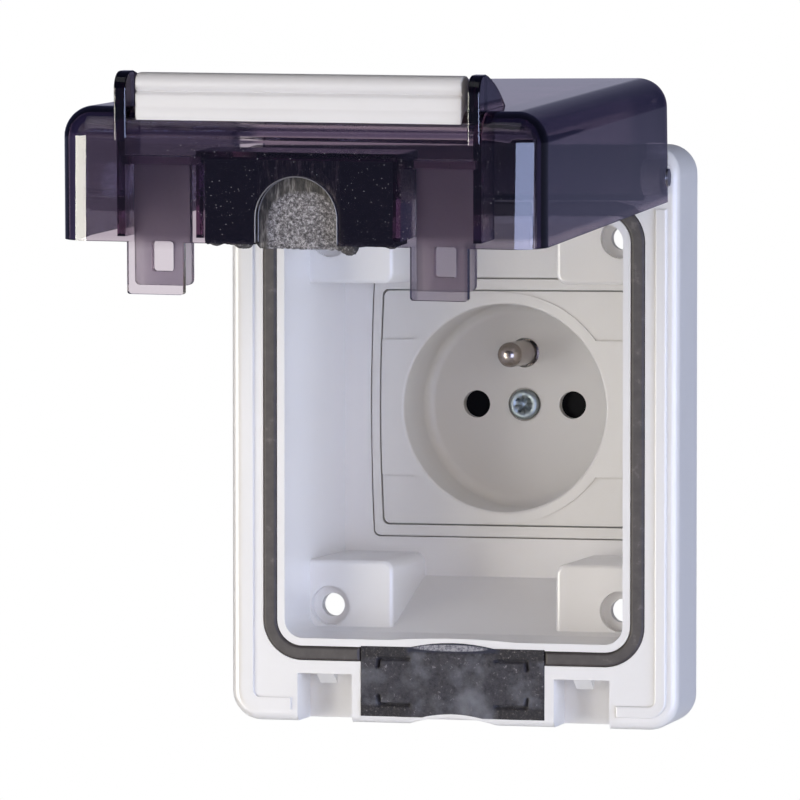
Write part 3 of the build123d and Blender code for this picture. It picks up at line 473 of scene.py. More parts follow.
face_depth = 0.0003
cut_depth = 0.0016
cut_half = 0.00042
crease_below = 0.0016
crease_half = 0.0003
crease_reach = 0.0082
crease_depth = 0.0005


def base_foam_face(x, z):
    """Depth of the enclosure's foam behind its front plane: lumps, knife cuts and a crease."""
    depth = face_depth + 0.00022 * lump(x, z, 260.0, 3.1) + 0.00010 * lump(x, z, 900.0, 7.7)
    near = min(cut_distance(x, z, cut) for cut in knife_cuts)
    depth += cut_depth * max(0.0, 1.0 - near / cut_half)
    if abs(x) < crease_reach:
        off_crease = abs(z - base_foam_high.z + crease_below)
        depth += crease_depth * max(0.0, 1.0 - off_crease / crease_half)
    return max(depth, 0.0)


def base_foam_under(x):
    """Height of the lower edge of the enclosure's foam, which follows the cable saddle."""
    saddle_half = 0.0057
    saddle_lift = 0.0007
    return base_foam_low.z + saddle_lift * max(0.0, 1.0 - (x / saddle_half) ** 2)


def base_foam_over(x):
    """Height of the upper edge of the enclosure's foam, with its low swelling in the middle."""
    swell_half = 0.0078
    swell = foam_swell * max(0.0, 1.0 - (x / swell_half) ** 2)
    return base_foam_high.z - foam_swell + swell


base_foam = foam_block(
    "base_foam_block",
    base_foam_low,
    base_foam_high,
    base_foam_under,
    base_foam_over,
    base_foam_face,
)
base_foam.data.materials.append(base_foam_finish)
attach(base_foam, "enclosure")
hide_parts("base_foam")

# Lid: a deep shell moulded in smoked clear plastic, with its fins, latch tabs, foam chamber and
# hinge holes. The tint is in the plastic, so thick or stacked walls look darker. Over that tint,
# painted shade darkens the fins, the side walls, the right front end and the right tab. The thin
# shell hangs from one end and has taken a slight twist, so its free right corner sits a little
# lower.

hinge_line = Vector(frame["joints"][0]["pos_m"])
lid_drop = math.radians(3.76)
lid_back = Vector((0.0, math.cos(lid_drop), math.sin(lid_drop)))
lid_up = Vector((0.0, -math.sin(lid_drop), math.cos(lid_drop)))
rim_below_hinge = 0.0044
lid_reach = 0.09865
twist_height = 0.010
lid_twist = math.radians(0.95)
twist_limit = 1.05
flat_cosine = 0.99999
edge_cosine = math.cos(math.radians(28.0))


def lid_turn(run):
    """Angle that the twist has reached at a run behind the hinge."""
    return lid_twist * max(0.0, min(twist_limit, -run / lid_reach))


def lid_place(point):
    """A point given by width, run behind the hinge and height over the rim, in the twisted lid."""
    turn = lid_turn(point.y)
    rise = point.z - twist_height
    across = point.x * math.cos(turn) + rise * math.sin(turn)
    height = twist_height - point.x * math.sin(turn) + rise * math.cos(turn)
    return (
        Vector((across, 0.0, 0.0))
        + Vector((0.0, hinge_line.y, hinge_line.z))
        + lid_back * point.y
        + lid_up * (height - rim_below_hinge)
    )


def lid_local(point):
    """Width, run behind the hinge and height over the rim of a point of the straight lid."""
    arm = point - Vector((point.x, hinge_line.y, hinge_line.z))
    return Vector((point.x, arm.dot(lid_back), arm.dot(lid_up) + rim_below_hinge))


def flat_areas(work):
    """Area of the flat patch that each facet of a moulding belongs to, by facet number."""
    areas = {}
    for facet in work.faces:
        if facet.index in areas:
            continue
        patch = {facet.index: facet}
        queue = [facet]
        while queue:
            current = queue.pop()
            for edge in current.edges:
                for other in edge.link_faces:
                    if other.index not in patch and current.normal.dot(other.normal) > flat_cosine:
                        patch[other.index] = other
                        queue.append(other)
        total = sum(member.calc_area() for member in patch.values())
        for index in patch:
            areas[index] = total
    return areas


def corner_normal(corner, areas):
    """Normal at a facet's corner: the flats beside a rounded edge keep their own direction."""
    fan = {corner.face.index: corner.face}
    queue = [corner.face]
    while queue:
        current = queue.pop()
        for edge in current.edges:
            if corner.vert not in edge.verts:
                continue
            for other in edge.link_faces:
                if other.index not in fan and current.normal.dot(other.normal) > edge_cosine:
                    fan[other.index] = other
                    queue.append(other)
    total = Vector((0.0, 0.0, 0.0))
    for index, facet in fan.items():
        total += facet.normal * areas[index] ** 2
    return total.normalized()


def lid_direction(direction, run):
    """A direction of the straight lid as it lies in the twisted lid."""
    turn = lid_turn(run)
    rise = direction.dot(lid_up)
    across = direction.x * math.cos(turn) + rise * math.sin(turn)
    height = rise * math.cos(turn) - direction.x * math.sin(turn)
    return Vector((across, 0.0, 0.0)) + lid_back * direction.dot(lid_back) + lid_up * height


work = bmesh.new()
work.from_mesh(nodes["lid"].data)
bmesh.ops.remove_doubles(work, verts=work.verts, dist=weld_gap)
work.normal_update()
work.faces.index_update()
areas = flat_areas(work)
lid_normals = []
for facet in work.faces:
    for corner in facet.loops:
        run = lid_local(corner.vert.co).y
        lid_normals.append(lid_direction(corner_normal(corner, areas), run))
for vert in work.verts:
    vert.co = lid_place(lid_local(vert.co))
lid_shell = smooth_piece("lid_shell", work)
lid_shell.data.normals_split_custom_set(lid_normals)

# Tints of the lid by region: the tabs below the rim nearly clear, the walls darker and the top wall
# lighter. The near-black fins, the dark side walls and right front end, and the darker right tab
# with its dark rim are painted shade.
tint_slope = (-0.001, 0.029)
rim_tint = (0.98, 1.0, 0.98)
wall_tint = (0.695, 0.685, 0.695)
upper_tint = (0.86, 0.85, 0.84)
fin_painted_shade = (0.14, 0.145, 0.17)
side_slope = (0.0355, 0.0375)
front_slope = (-0.0025, 0.0005)
right_end_slope = (0.0315, 0.0335)
side_painted_shade = (0.25, 0.26, 0.31)
right_tab_slope = (0.010, 0.012)
rim_slope = (0.0012, -0.0002)
right_tab_painted_shade = (0.87, 0.88, 0.87)
tab_middle = 0.0243
tab_half = 0.0052
tab_rim_slope = (0.0039, 0.0043)
tab_rim_painted_shade = (0.62, 0.64, 0.67)
hook_setback = 0.0049
hook_middle = 0.00075
hook_half = 0.0011
hook_frost = 0.38
clear_polish = 0.01
smear_polish = 0.04
smoke_density = 340.0
smoke_colour = (0.4925, 0.275, 0.4425, 1.0)

lid_smoke, tree, shader, place = new_finish("lid_smoke")
shader.inputs["Transmission Weight"].default_value = 1.0
shader.inputs["IOR"].default_value = 1.58
spot = add_node(tree, "ShaderNodeSeparateXYZ", -900, 300)
tree.links.new(place, spot.inputs["Vector"])
drop_slope = math.tan(lid_drop)
rim_level = hinge_line.z - rim_below_hinge - hinge_line.y * drop_slope
over_rim = add_sum(tree, "MULTIPLY_ADD", -740, 300, spot.outputs["Y"], -drop_slope, -rim_level)
over_rim = add_sum(tree, "ADD", -600, 300, over_rim, spot.outputs["Z"])
body = add_range(tree, over_rim, *tint_slope, -460, 300)
# Tint by height over the rim. Its last stop is painted shade that turns the fins near black.
height_tint_and_painted_shade = add_ramp(
    tree,
    body,
    [
        (0.0, rim_tint),
        (0.085, wall_tint),
        (0.57, wall_tint),
        (0.67, upper_tint),
        (0.775, upper_tint),
        (0.80, fin_painted_shade),
    ],
    -300,
    300,
)
hook_run = (lid_reach - hook_setback) / math.cos(lid_drop)
hook_offset = hook_run - hinge_line.y - drop_slope * hinge_line.z
run = add_sum(tree, "MULTIPLY_ADD", -740, 520, spot.outputs["Z"], drop_slope, hook_offset)
run = add_sum(tree, "ADD", -600, 520, run, spot.outputs["Y"])
aside = add_sum(tree, "ABSOLUTE", -600, 680, spot.outputs["X"])
# The side walls behind the front and the right front end of the lid are painted dark: painted
# shade.
side_wall = add_range(tree, aside, *side_slope, -460, 840)
past_front = add_range(tree, run, *front_slope, -460, 980)
side_wall = add_sum(tree, "MULTIPLY", -300, 900, side_wall, past_front)
right_end = add_range(tree, spot.outputs["X"], *right_end_slope, -300, 1040)
painted_shade_zone = add_sum(tree, "MAXIMUM", -160, 960, side_wall, right_end)
# The right tab under the rim is painted darker, and its rim darker still: painted shade.
tab_end = add_range(tree, spot.outputs["X"], *right_tab_slope, -300, 1180)
under_rim = add_range(tree, over_rim, *rim_slope, -300, 1320)
tab_shade = add_sum(tree, "MULTIPLY", -160, 1240, tab_end, under_rim)
tint_and_painted_shade = add_mix(tree, painted_shade_zone, height_tint_and_painted_shade.outputs["Color"], side_painted_shade, 0, 700)
tint_and_painted_shade = add_mix(tree, tab_shade, tint_and_painted_shade, right_tab_painted_shade, 160, 700)
off_tab = add_sum(tree, "SUBTRACT", -300, 1460, spot.outputs["X"], tab_middle)
off_tab = add_sum(tree, "ABSOLUTE", -160, 1460, off_tab)
tab_edge = add_range(tree, off_tab, *tab_rim_slope, -20, 1460)
tab_rim = add_sum(tree, "MULTIPLY", 120, 1380, tab_edge, tab_shade)
tint_and_painted_shade = add_mix(tree, tab_rim, tint_and_painted_shade, tab_rim_painted_shade, 320, 700)
tree.links.new(tint_and_painted_shade, shader.inputs["Base Color"])
in_hook = add_sum(tree, "COMPARE", -460, 520, run, hook_middle, hook_half)
in_tab = add_sum(tree, "COMPARE", -460, 680, aside, tab_middle, tab_half)
frosted = add_sum(tree, "MULTIPLY", -300, 600, in_hook, in_tab)
smears = add_noise(tree, place, 90.0, 4.0, -860, -60)
smeared = add_sum(
    tree, "MULTIPLY_ADD", -620, -60, smears.outputs["Fac"], smear_polish, clear_polish
)
polish = add_sum(tree, "MULTIPLY_ADD", -160, 500, frosted, hook_frost, smeared)
tree.links.new(polish, shader.inputs["Roughness"])
ripple = add_noise(tree, place, 60.0, 2.0, -860, -360)
add_bump(tree, shader, ripple.outputs["Fac"], 0.1, 0.0002)
tint = add_node(tree, "ShaderNodeVolumeAbsorption", 20, -420, Density=smoke_density)
tint.inputs["Color"].default_value = smoke_colour
tree.links.new(tint.outputs["Volume"], tree.nodes["Material Output"].inputs["Volume"])
lid_shell.data.materials.append(lid_smoke)
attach(lid_shell, "lid")
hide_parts("lid")

# Polished edge of the cable arch: the cut through the lid's front wall is flame polished, so its
# two edges are small smooth rounds that catch the light. Each is made as a thin opaque grey round,
# whose pale colour is a painted highlight for the light that the clear edge catches.

arch_half = 0.0070
arch_spring = 0.0043
arch_foot = 0.0003
arch_steps = 24
edge_round = 0.00011
front_wall = 0.0019
edge_runs = {"arch_edge_front": -lid_reach, "arch_edge_back": -lid_reach + front_wall}


def finished_mesh(draft):
    """The plain mesh of an object, with its curve or its modifiers worked out."""
    shaped = draft.evaluated_get(bpy.context.evaluated_depsgraph_get())
    return bpy.data.meshes.new_from_object(shaped)


# Opaque grey for the clear edges: a painted highlight.
edge_painted_highlight = moulded_plastic(
    "edge_painted_highlight", (0.17, 0.165, 0.18), (0.10, 0.098, 0.11), 0.22, 0.02
)
for name, edge_run in edge_runs.items():
    outline = [Vector((-arch_half, edge_run, arch_foot))]
    for step in range(arch_steps + 1):
        swing = math.pi * (1.0 - step / arch_steps)
        across = arch_half * math.cos(swing)
        height = arch_spring + arch_half * math.sin(swing)
        outline.append(Vector((across, edge_run, height)))
    outline.append(Vector((arch_half, edge_run, arch_foot)))
    path = bpy.data.curves.new(name, "CURVE")
    path.dimensions = "3D"
    path.bevel_depth = edge_round
    path.bevel_resolution = 3
    path.use_fill_caps = True
    line = path.splines.new("POLY")
    line.points.add(len(outline) - 1)
    for point, where in zip(line.points, outline):
        point.co = (*lid_place(where), 1.0)
    draft = bpy.data.objects.new(name + "_path", path)
    bpy.context.scene.collection.objects.link(draft)
    mesh = finished_mesh(draft)
    bpy.data.objects.remove(draft)
    mesh.polygons.foreach_set("use_smooth", [True] * len(mesh.polygons))
    mesh.materials.clear()
    mesh.materials.append(edge_painted_highlight)
    edge = bpy.data.objects.new(name, mesh)
    bpy.context.scene.collection.objects.link(edge)
    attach(edge, "lid")

# Foam block of the lid: black cellular rubber behind the cable arch. Where the arch leaves its cut
# face bare, the face is paler: partly scuffing, partly painted light where the lamps reach it
# through the arch, and the pale patch stops short of the arch's top, where shade falls. Its lower
# edge, just above the rim, is ragged.

lid_foam_half = 0.0161
lid_foam_front = -0.09655
lid_foam_back = -0.08675
lid_foam_top = 0.0139
foam_clear = 0.0003
rim_front = hinge_line.z - rim_below_hinge + lid_foam_front * math.sin(lid_drop)
patch_half = 0.0060
patch_rise = 0.0050
patch_shift = -0.06
patch_foot = rim_front + 0.0036
scuffed_and_lit_slope = (1.28, 1.05)
rubbed_and_lit_slope = (0.0072, 0.0066)

lid_foam_finish, tree, shader, place, tones = foam_finish(
    "lid_foam_rubber",
    (0.005, 0.005, 0.006),
    (0.008, 0.008, 0.010),
    (0.14, 0.14, 0.15),
    0.68,
    1500.0,
)
spot = add_node(tree, "ShaderNodeSeparateXYZ", -860, 520)
tree.links.new(place, spot.inputs["Vector"])
# The pale patch on the bare face is scuffing and painted light. It stops short of the arch's top,
# where shade falls.
patch_x = add_sum(tree, "MULTIPLY_ADD", -700, 520, spot.outputs["X"], 1 / patch_half, patch_shift)
patch_z = add_sum(
    tree, "MULTIPLY_ADD", -700, 660, spot.outputs["Z"], 1 / patch_rise, -patch_foot / patch_rise
)
patch_z = add_sum(tree, "MAXIMUM", -560, 660, patch_z, 0.0)
patch_x = add_sum(tree, "POWER", -420, 520, add_sum(tree, "ABSOLUTE", -560, 520, patch_x), 2.6)
patch_z = add_sum(tree, "POWER", -420, 660, patch_z, 2.0)
patch_out = add_sum(tree, "ADD", -280, 600, patch_x, patch_z)
ragged = add_noise(tree, place, 900.0, 3.0, -420, 800)
patch_out = add_sum(tree, "MULTIPLY_ADD", -140, 700, ragged.outputs["Fac"], 0.35, patch_out)
scuffed_and_lit_patch = add_range(tree, patch_out, *scuffed_and_lit_slope, 0, 700)
scuff = add_noise(tree, place, 1900.0, 8.0, -860, 940, 0.86)
scuff_and_light_tones = add_ramp(
    tree,
    scuff.outputs["Fac"],
    [(0.40, (0.022, 0.021, 0.022)), (0.50, (0.15, 0.14, 0.147)), (0.60, (0.58, 0.56, 0.58))],
    -620,
    940,
)
# Paler streaks across the width of the arch: rubbing and painted light.
aside = add_sum(tree, "ABSOLUTE", -560, 1100, spot.outputs["X"])
in_arch = add_range(tree, aside, *rubbed_and_lit_slope, -420, 1100)
streak = add_node(tree, "ShaderNodeMapping", -1000, 1240)
streak.inputs["Scale"].default_value = (1.0, 1.0, 0.12)
tree.links.new(place, streak.inputs["Vector"])
streaks = add_noise(tree, streak.outputs["Vector"], 1500.0, 3.0, -860, 1240, 0.7)
rubbed_and_lit_tones = add_ramp(
    tree,
    streaks.outputs["Fac"],
    [(0.36, (0.020, 0.018, 0.016)), (0.52, (0.070, 0.062, 0.054)), (0.68, (0.30, 0.28, 0.26))],
    -620,
    1240,
)
tones = add_mix(tree, in_arch, tones, rubbed_and_lit_tones.outputs["Color"], 120, 520)
tones = add_mix(tree, scuffed_and_lit_patch, tones, scuff_and_light_tones.outputs["Color"], 280, 520)
tree.links.new(tones, shader.inputs["Base Color"])


def lid_foam_face(x, z):
    """Depth of the lid's foam behind its front plane."""
    depth = face_depth + 0.00025 * lump(x, z, 300.0, 11.3) + 0.00012 * lump(x, z, 1100.0, 5.9)
    return max(0.0, depth)


def lid_foam_edge(x):
    """Ragged lower edge of the lid's foam, just above the rim."""
    return foam_clear + 0.00015 * lump(x, 0.0, 420.0, 2.2) + 0.00015 * lump(x, 0.0, 1500.0, 8.4)


lid_foam = foam_block(
    "lid_foam_block",
    (-lid_foam_half, lid_foam_front, 0.0),
    (lid_foam_half, lid_foam_back, lid_foam_top),
    lid_foam_edge,
    lambda x: lid_foam_top,
    lid_foam_face,
    lid_place,
)
lid_foam.data.materials.append(lid_foam_finish)
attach(lid_foam, "lid")
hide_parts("lid_foam")

# Lip of the lid's foam: the soft lower edge that bulges out under the rim, a little lower in the
# arch.

lip_top = 0.0010
lip_behind = 0.00005
lip_sag = 0.00025
arch_sag = 0.00065
arch_sag_half = 0.0074
arch_sag_ease = 0.0006


def lid_foam_under(x):
    """Lower edge of the foam's lip: a ragged line, a little lower under the arch."""
    sag = lip_sag + arch_sag * max(0.0, min(1.0, (arch_sag_half - abs(x)) / arch_sag_ease))
    return lid_foam_edge(x) - foam_clear - sag


foam_lip = foam_block(
    "lid_foam_lip",
    (-lid_foam_half + lip_behind, lid_foam_front + lip_behind, 0.0),
    (lid_foam_half - lip_behind, lid_foam_back - lip_behind, lip_top),
    lid_foam_under,
    lambda x: lip_top,
    lid_foam_face,
    lid_place,
)
foam_lip.data.materials.append(lid_foam_finish)
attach(foam_lip, "lid")
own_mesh(foam_lip)

# Crumbs of the lid's foam: the cut lower edge has torn, and soft lumps hang under the rim.

crumb_inset = 0.0010
crumb_deep = 0.0009

crumb_finish = foam_finish(
    "lid_foam_crumbs",
    (0.020, 0.018, 0.018),
    (0.065, 0.058, 0.056),
    (0.42, 0.39, 0.38),
    0.56,
    2600.0,
)[0]
crumbs = [
    (0.0084, -0.0006, 0.0016, 0.0011),
    (0.0072, 0.0000, 0.0009, 0.0008),
    (-0.0098, -0.0001, 0.0016, 0.0009),
    (-0.0113, 0.0001, 0.0012, 0.0006),
    (-0.0146, 0.0000, 0.0012, 0.0006),
    (0.0156, 0.0000, 0.0008, 0.0006),
]
work = bmesh.new()
for seed, (x, height, half, tall) in enumerate(crumbs):
    made = bmesh.ops.create_icosphere(work, subdivisions=4, radius=1.0)
    for vert in made["verts"]:
        swell = 1.0 + 0.22 * noise.noise(vert.co * 1.7 + Vector((seed * 3.1, 0.0, 0.0)))
        swell += 0.10 * noise.noise(vert.co * 5.0 + Vector((0.0, seed * 2.3, 0.0)))
        across = x + vert.co.x * swell * half
        run = lid_foam_front + crumb_inset + vert.co.y * swell * crumb_deep
        rise = height + vert.co.z * swell * tall
        vert.co = lid_place(Vector((across, run, rise)))
foam_crumbs = smooth_piece("lid_foam_crumbs", work)
foam_crumbs.data.materials.append(crumb_finish)
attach(foam_crumbs, "lid")
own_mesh(foam_crumbs)

# Dust on the lid: pale grains that cling to the front wall of the plastic, clear of the arch. They
# are spread evenly, and the largest is four times the size of the smallest.

dust_left = -0.0230
dust_width = 0.0580
dust_low = 0.0012
dust_high = 0.0168
dust_gap = 0.00001
arch_clear = 0.0006
grains_per_area = 480000.0
grain_radius = 0.0001
columns = 64
rows = 16


def dust_spot(row, column):
    """Width and height over the rim of a spot in the dusty field, counted in its cells."""
    across = dust_left + dust_width * column / columns
    return across, dust_low + (dust_high - dust_low) * row / rows


dust_field = bpy.data.meshes.new("dust_field")
work = bmesh.new()
grid = []
for row in range(rows + 1):
    line = []
    for column in range(columns + 1):
        across, height = dust_spot(row, column)
        line.append(work.verts.new(lid_place(Vector((across, -lid_reach - dust_gap, height)))))
    grid.append(line)
for row in range(rows):
    for column in range(columns):
        across, height = dust_spot(row + 0.5, column + 0.5)
        if math.hypot(across, max(0.0, height - arch_spring)) >= arch_half + arch_clear:
            work.faces.new(cell_corners(grid, row, column))
work.to_mesh(dust_field)
work.free()
dust_grey = moulded_plastic("dust_grey", (0.34, 0.335, 0.34), (0.10, 0.098, 0.10), 0.9, 0.3)
dust = bpy.data.objects.new("lid_dust", dust_field)
bpy.context.scene.collection.objects.link(dust)
scatter = bpy.data.node_groups.new("dust_scatter", "GeometryNodeTree")
scatter.interface.new_socket("Geometry", in_out="INPUT", socket_type="NodeSocketGeometry")
grains_input = scatter.interface.new_socket("Grains", in_out="INPUT", socket_type="NodeSocketFloat")
size_input = scatter.interface.new_socket(
    "Grain size", in_out="INPUT", socket_type="NodeSocketFloat"
)
scatter.interface.new_socket("Geometry", in_out="OUTPUT", socket_type="NodeSocketGeometry")
given = add_node(scatter, "NodeGroupInput", -700, 0)
taken = add_node(scatter, "NodeGroupOutput", 500, 0)
points = add_node(scatter, "GeometryNodeDistributePointsOnFaces", -460, 0, Seed=7)
grain = add_node(scatter, "GeometryNodeMeshIcoSphere", -460, -260, Subdivisions=1)
spread = add_node(scatter, "FunctionNodeRandomValue", -460, -460, Seed=3)
spread.data_type = "FLOAT"
spread.inputs["Min"].default_value = 0.25
spread.inputs["Max"].default_value = 1.0
set_out = add_node(scatter, "GeometryNodeInstanceOnPoints", -220, 0)
made = add_node(scatter, "GeometryNodeRealizeInstances", 20, 0)
coated = add_node(scatter, "GeometryNodeSetMaterial", 260, 0)
coated.inputs["Material"].default_value = dust_grey
scatter.links.new(given.outputs["Geometry"], points.inputs["Mesh"])
scatter.links.new(given.outputs["Grains"], points.inputs["Density"])
scatter.links.new(given.outputs["Grain size"], grain.inputs["Radius"])
scatter.links.new(points.outputs["Points"], set_out.inputs["Points"])
scatter.links.new(grain.outputs["Mesh"], set_out.inputs["Instance"])
scatter.links.new(spread.outputs["Value"], set_out.inputs["Scale"])
scatter.links.new(set_out.outputs["Instances"], made.inputs["Geometry"])
scatter.links.new(made.outputs["Geometry"], coated.inputs["Geometry"])
scatter.links.new(coated.outputs["Geometry"], taken.inputs["Geometry"])
sprinkle = dust.modifiers.new("dust_scatter", "NODES")
sprinkle.node_group = scatter
sprinkle[grains_input.identifier] = grains_per_area
sprinkle[size_input.identifier] = grain_radius
dust_mesh = finished_mesh(dust)
dust_mesh.name = "lid_dust"
dust.modifiers.remove(sprinkle)
dust.data = dust_mesh
dust_mesh.materials.clear()
dust_mesh.materials.append(dust_grey)
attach(dust, "lid")

# Grip bar: a light-grey profiled moulding seated on the lid between the fins. A roll along its top
# is parted from the flat front by a hollow, and its lower edge is eased where it meets the lid.

bar_half = 0.0279
bar_end_round = 0.0003
bar_depth_half = 0.0038
bar_middle = Vector((bar_depth_half, 0.0243))
bar_steps = 40
end_steps = 5
lid_edge_round = 0.0052
lid_edge_height = 0.0171
seat_round = lid_edge_round + 0.00002


def arc(across, height, radius, start, end, steps):
    """Points of the bar's profile along an arc, from one angle in degrees to another."""
    swings = [math.radians(start + (end - start) * step / steps) for step in range(steps + 1)]
    return [(across + radius * math.cos(turn), height + radius * math.sin(turn)) for turn in swings]


bar_profile = arc(0.0026, 0.0263, 0.0017, 90.0, 230.0, 12)
bar_profile += [
    (0.00138, 0.02488),
    (0.00112, 0.02472),
    (0.00096, 0.02450),
    (0.00090, 0.02420),
    (0.00090, 0.02290),
    (0.00095, 0.02265),
    (0.00099, 0.02240),
    (0.00095, 0.02215),
    (0.00090, 0.02190),
    (0.00090, 0.02085),
    (0.00094, 0.02065),
    (0.00104, 0.02027),
]
bar_profile += arc(lid_edge_round, lid_edge_height, seat_round, 143.0, 90.0, 8)
bar_profile.append((0.0069, lid_edge_height + seat_round))
bar_profile += arc(0.0044, 0.0255, 0.0025, 0.0, 90.0, 8)


def drawn_in(profile, amount):
    """The profile drawn in towards its middle by an amount, for the rounding of the bar's ends."""
    scale = 1.0 - amount / bar_depth_half
    return [bar_middle + (Vector(point) - bar_middle) * scale for point in profile]


work = bmesh.new()
stations = []
for step in range(end_steps + 1):
    swing = math.radians(90.0 * step / end_steps)
    amount = bar_end_round * (1.0 - math.sin(swing))
    stations.append((amount, bar_end_round * (1.0 - math.cos(swing))))
sections = [(-bar_half + depth, amount) for amount, depth in stations]
straight = bar_half - bar_end_round
sections += [(straight * (2 * step / bar_steps - 1.0), 0.0) for step in range(1, bar_steps)]
sections += [(bar_half - depth, amount) for amount, depth in reversed(stations)]
rings = []
for x, amount in sections:
    rings.append(
        [
            work.verts.new(lid_place(Vector((x, -lid_reach + run, height))))
            for run, height in drawn_in(bar_profile, amount)
        ]
    )
for first, second in zip(rings, rings[1:]):
    for index in range(len(bar_profile)):
        after = (index + 1) % len(bar_profile)
        work.faces.new((first[index], first[after], second[after], second[index]))
work.faces.new(rings[0])
work.faces.new(list(reversed(rings[-1])))
bmesh.ops.recalc_face_normals(work, faces=work.faces)
grip_bar = smooth_piece("grip_bar_moulding", work)
grip_bar.data.set_sharp_from_angle(angle=math.radians(50.0))
bar_grey = moulded_plastic(
    "bar_grey_moulding", (0.745, 0.73, 0.725), (0.73, 0.715, 0.71), 0.45, 0.03
)
grip_bar.data.materials.append(bar_grey)
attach(grip_bar, "lid")
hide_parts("grip_bar")

# Room: a pale floor well below the wall-mounted object, soft lamps to the left, right, front, top
# and back, two strips that show as reflections, and a white backdrop behind in a grey studio.

floor_level = -0.40
floor_radius = 1.6
floor_fade = (1.55, 0.9)
floor_lift = 0.45
backdrop_way = (-0.256, 0.966, -0.044)
skyline_slope = (-0.01, 0.03)


def soft_lamp(
    name, bearing, height, distance, width, tall, power, colour, mirrored=True, lights=True
):
    """A large soft lamp that faces the object, its bearing and height in degrees from the front."""
    lamp = bpy.data.lights.new(name, "AREA")
    lamp.shape = "RECTANGLE"
    lamp.size = width
    lamp.size_y = tall
    lamp.energy = power
    lamp.color = colour
    holder = bpy.data.objects.new(name, lamp)
    aim = Vector((0.0, -0.03, 0.06))
    away = math.radians(bearing)
    lift = math.radians(height)
    holder.location = aim + distance * Vector(
        (math.sin(away) * math.cos(lift), -math.cos(away) * math.cos(lift), math.sin(lift))
    )
    holder.rotation_euler = (aim - holder.location).to_track_quat("-Z", "Y").to_euler()
    holder.visible_camera = False
    holder.visible_glossy = mirrored
    holder.visible_diffuse = lights
    holder.visible_transmission = False
    bpy.context.scene.collection.objects.link(holder)


soft_lamp("left_lamp", -46.0, 2.0, 1.4, 1.0, 0.9, 10.8, (1.0, 0.965, 0.92), mirrored=False)
soft_lamp("right_lamp", 62.0, 0.0, 1.4, 1.0, 0.9, 14.5, (0.70, 0.78, 1.0), mirrored=False)
soft_lamp("top_lamp", -8.0, 58.0, 1.5, 1.3, 0.9, 1.5, (1.0, 1.0, 1.0))
soft_lamp("front_lamp", 16.0, 5.0, 1.9, 0.8, 0.8, 6.5, (1.0, 0.89, 0.76), mirrored=False)
soft_lamp("left_strip", -44.0, -7.0, 1.4, 1.05, 0.62, 28.0, (1.0, 0.97, 0.86), lights=False)
soft_lamp("right_strip", 43.0, -7.0, 1.4, 1.70, 0.62, 25.0, (0.53, 0.62, 1.0), lights=False)
soft_lamp("back_lamp", 206.0, 14.0, 1.6, 1.2, 1.0, 11.0, (1.0, 0.98, 0.95), mirrored=False)

floor_mesh = bpy.data.meshes.new("floor")
work = bmesh.new()
bmesh.ops.create_circle(work, cap_ends=True, segments=96, radius=floor_radius)
for vert in work.verts:
    vert.co.z = floor_level
work.to_mesh(floor_mesh)
work.free()
floor = bpy.data.objects.new("floor", floor_mesh)
bpy.context.scene.collection.objects.link(floor)
floor_paper, tree, shader, place = new_finish("floor_paper")
fibres = add_noise(tree, place, 8.0, 3.0, -860, 100)
paper_tones = add_ramp(
    tree, fibres.outputs["Fac"], [(0.3, (0.80, 0.80, 0.80)), (0.7, (0.83, 0.83, 0.83))], -620, 100
)
tree.links.new(paper_tones.outputs["Color"], shader.inputs["Base Color"])
shader.inputs["Roughness"].default_value = 0.9
reach = add_node(tree, "ShaderNodeVectorMath", -860, -300)
reach.operation = "LENGTH"
tree.links.new(place, reach.inputs[0])
fade = add_range(tree, reach.outputs["Value"], *floor_fade, -620, -300)
tree.links.new(fade, shader.inputs["Alpha"])
floor_rays = add_node(tree, "ShaderNodeLightPath", -620, -560)
floor_glow = add_sum(tree, "MULTIPLY", -420, -560, floor_rays.outputs["Is Camera Ray"], floor_lift)
shader.inputs["Emission Color"].default_value = (1.0, 1.0, 1.0, 1.0)
tree.links.new(floor_glow, shader.inputs["Emission Strength"])
floor_paper.cycles.emission_sampling = "NONE"
floor_mesh.materials.append(floor_paper)

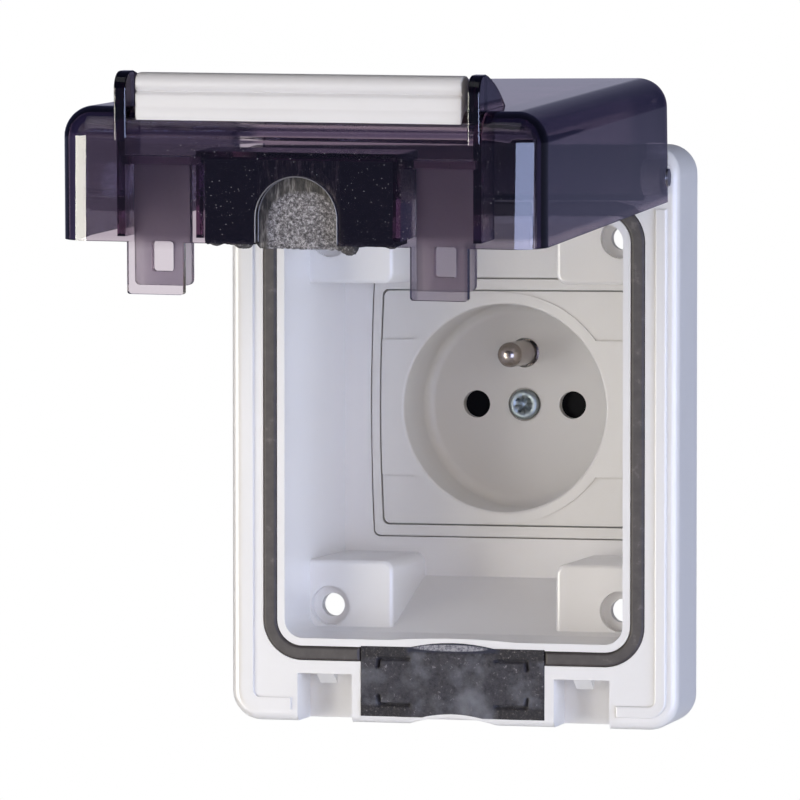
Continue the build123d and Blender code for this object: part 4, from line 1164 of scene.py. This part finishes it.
surround = bpy.data.worlds.new("surround")
surround.use_nodes = True
bpy.context.scene.world = surround
tree = surround.node_tree
sky = tree.nodes["Background"]
rays = add_node(tree, "ShaderNodeLightPath", -900, 300)
ahead = add_node(tree, "ShaderNodeTexCoord", -1100, -100)
facing = add_node(tree, "ShaderNodeVectorMath", -900, -100)
facing.operation = "DOT_PRODUCT"
facing.inputs[1].default_value = backdrop_way
tree.links.new(ahead.outputs["Generated"], facing.inputs[0])
backdrop = add_ramp(
    tree,
    facing.outputs["Value"],
    [(0.88, (0.12, 0.125, 0.23)), (0.97, (0.40, 0.41, 0.47)), (0.992, (1.0, 1.0, 1.0))],
    -700,
    -100,
)
upward = add_node(tree, "ShaderNodeSeparateXYZ", -900, -400)
tree.links.new(ahead.outputs["Generated"], upward.inputs["Vector"])
rise = add_range(tree, upward.outputs["Z"], *skyline_slope, -700, -400)
fall_off = add_ramp(tree, rise, [(0.0, (1.0, 1.0, 1.0)), (1.0, (0.36, 0.36, 0.47))], -500, -400)
mirrored = add_node(tree, "ShaderNodeMix", -300, -200)
mirrored.data_type = "RGBA"
mirrored.blend_type = "MULTIPLY"
mirrored.inputs["Factor"].default_value = 1.0
tree.links.new(backdrop.outputs["Color"], mirrored.inputs["A"])
tree.links.new(fall_off.outputs["Color"], mirrored.inputs["B"])
sharp = add_sum(
    tree, "MAXIMUM", -700, 300, rays.outputs["Is Glossy Ray"], rays.outputs["Is Transmission Ray"]
)
level = add_mix(tree, sharp, (0.04, 0.04, 0.04), mirrored.outputs["Result"], -100, 100)
seen = add_mix(tree, rays.outputs["Is Camera Ray"], level, (1.0, 1.0, 1.0), 100, 200)
tree.links.new(seen, sky.inputs["Color"])

# Camera: a long lens about a metre in front of the object, a little above it and to its right,
# that looks slightly down on it.

lens = bpy.data.cameras.new("camera")
lens.sensor_fit = "HORIZONTAL"
lens.sensor_width = 36.0
lens.lens = 249.96
lens.clip_start = 0.05
lens.clip_end = 50.0
camera = bpy.data.objects.new("camera", lens)
camera.location = (0.25092, -1.00011, 0.10422)
camera.rotation_euler = (math.radians(90.0 - 2.511), 0.0, math.radians(14.849))
bpy.context.scene.collection.objects.link(camera)
bpy.context.scene.camera = camera
bpy.context.scene.view_settings.view_transform = "Standard"
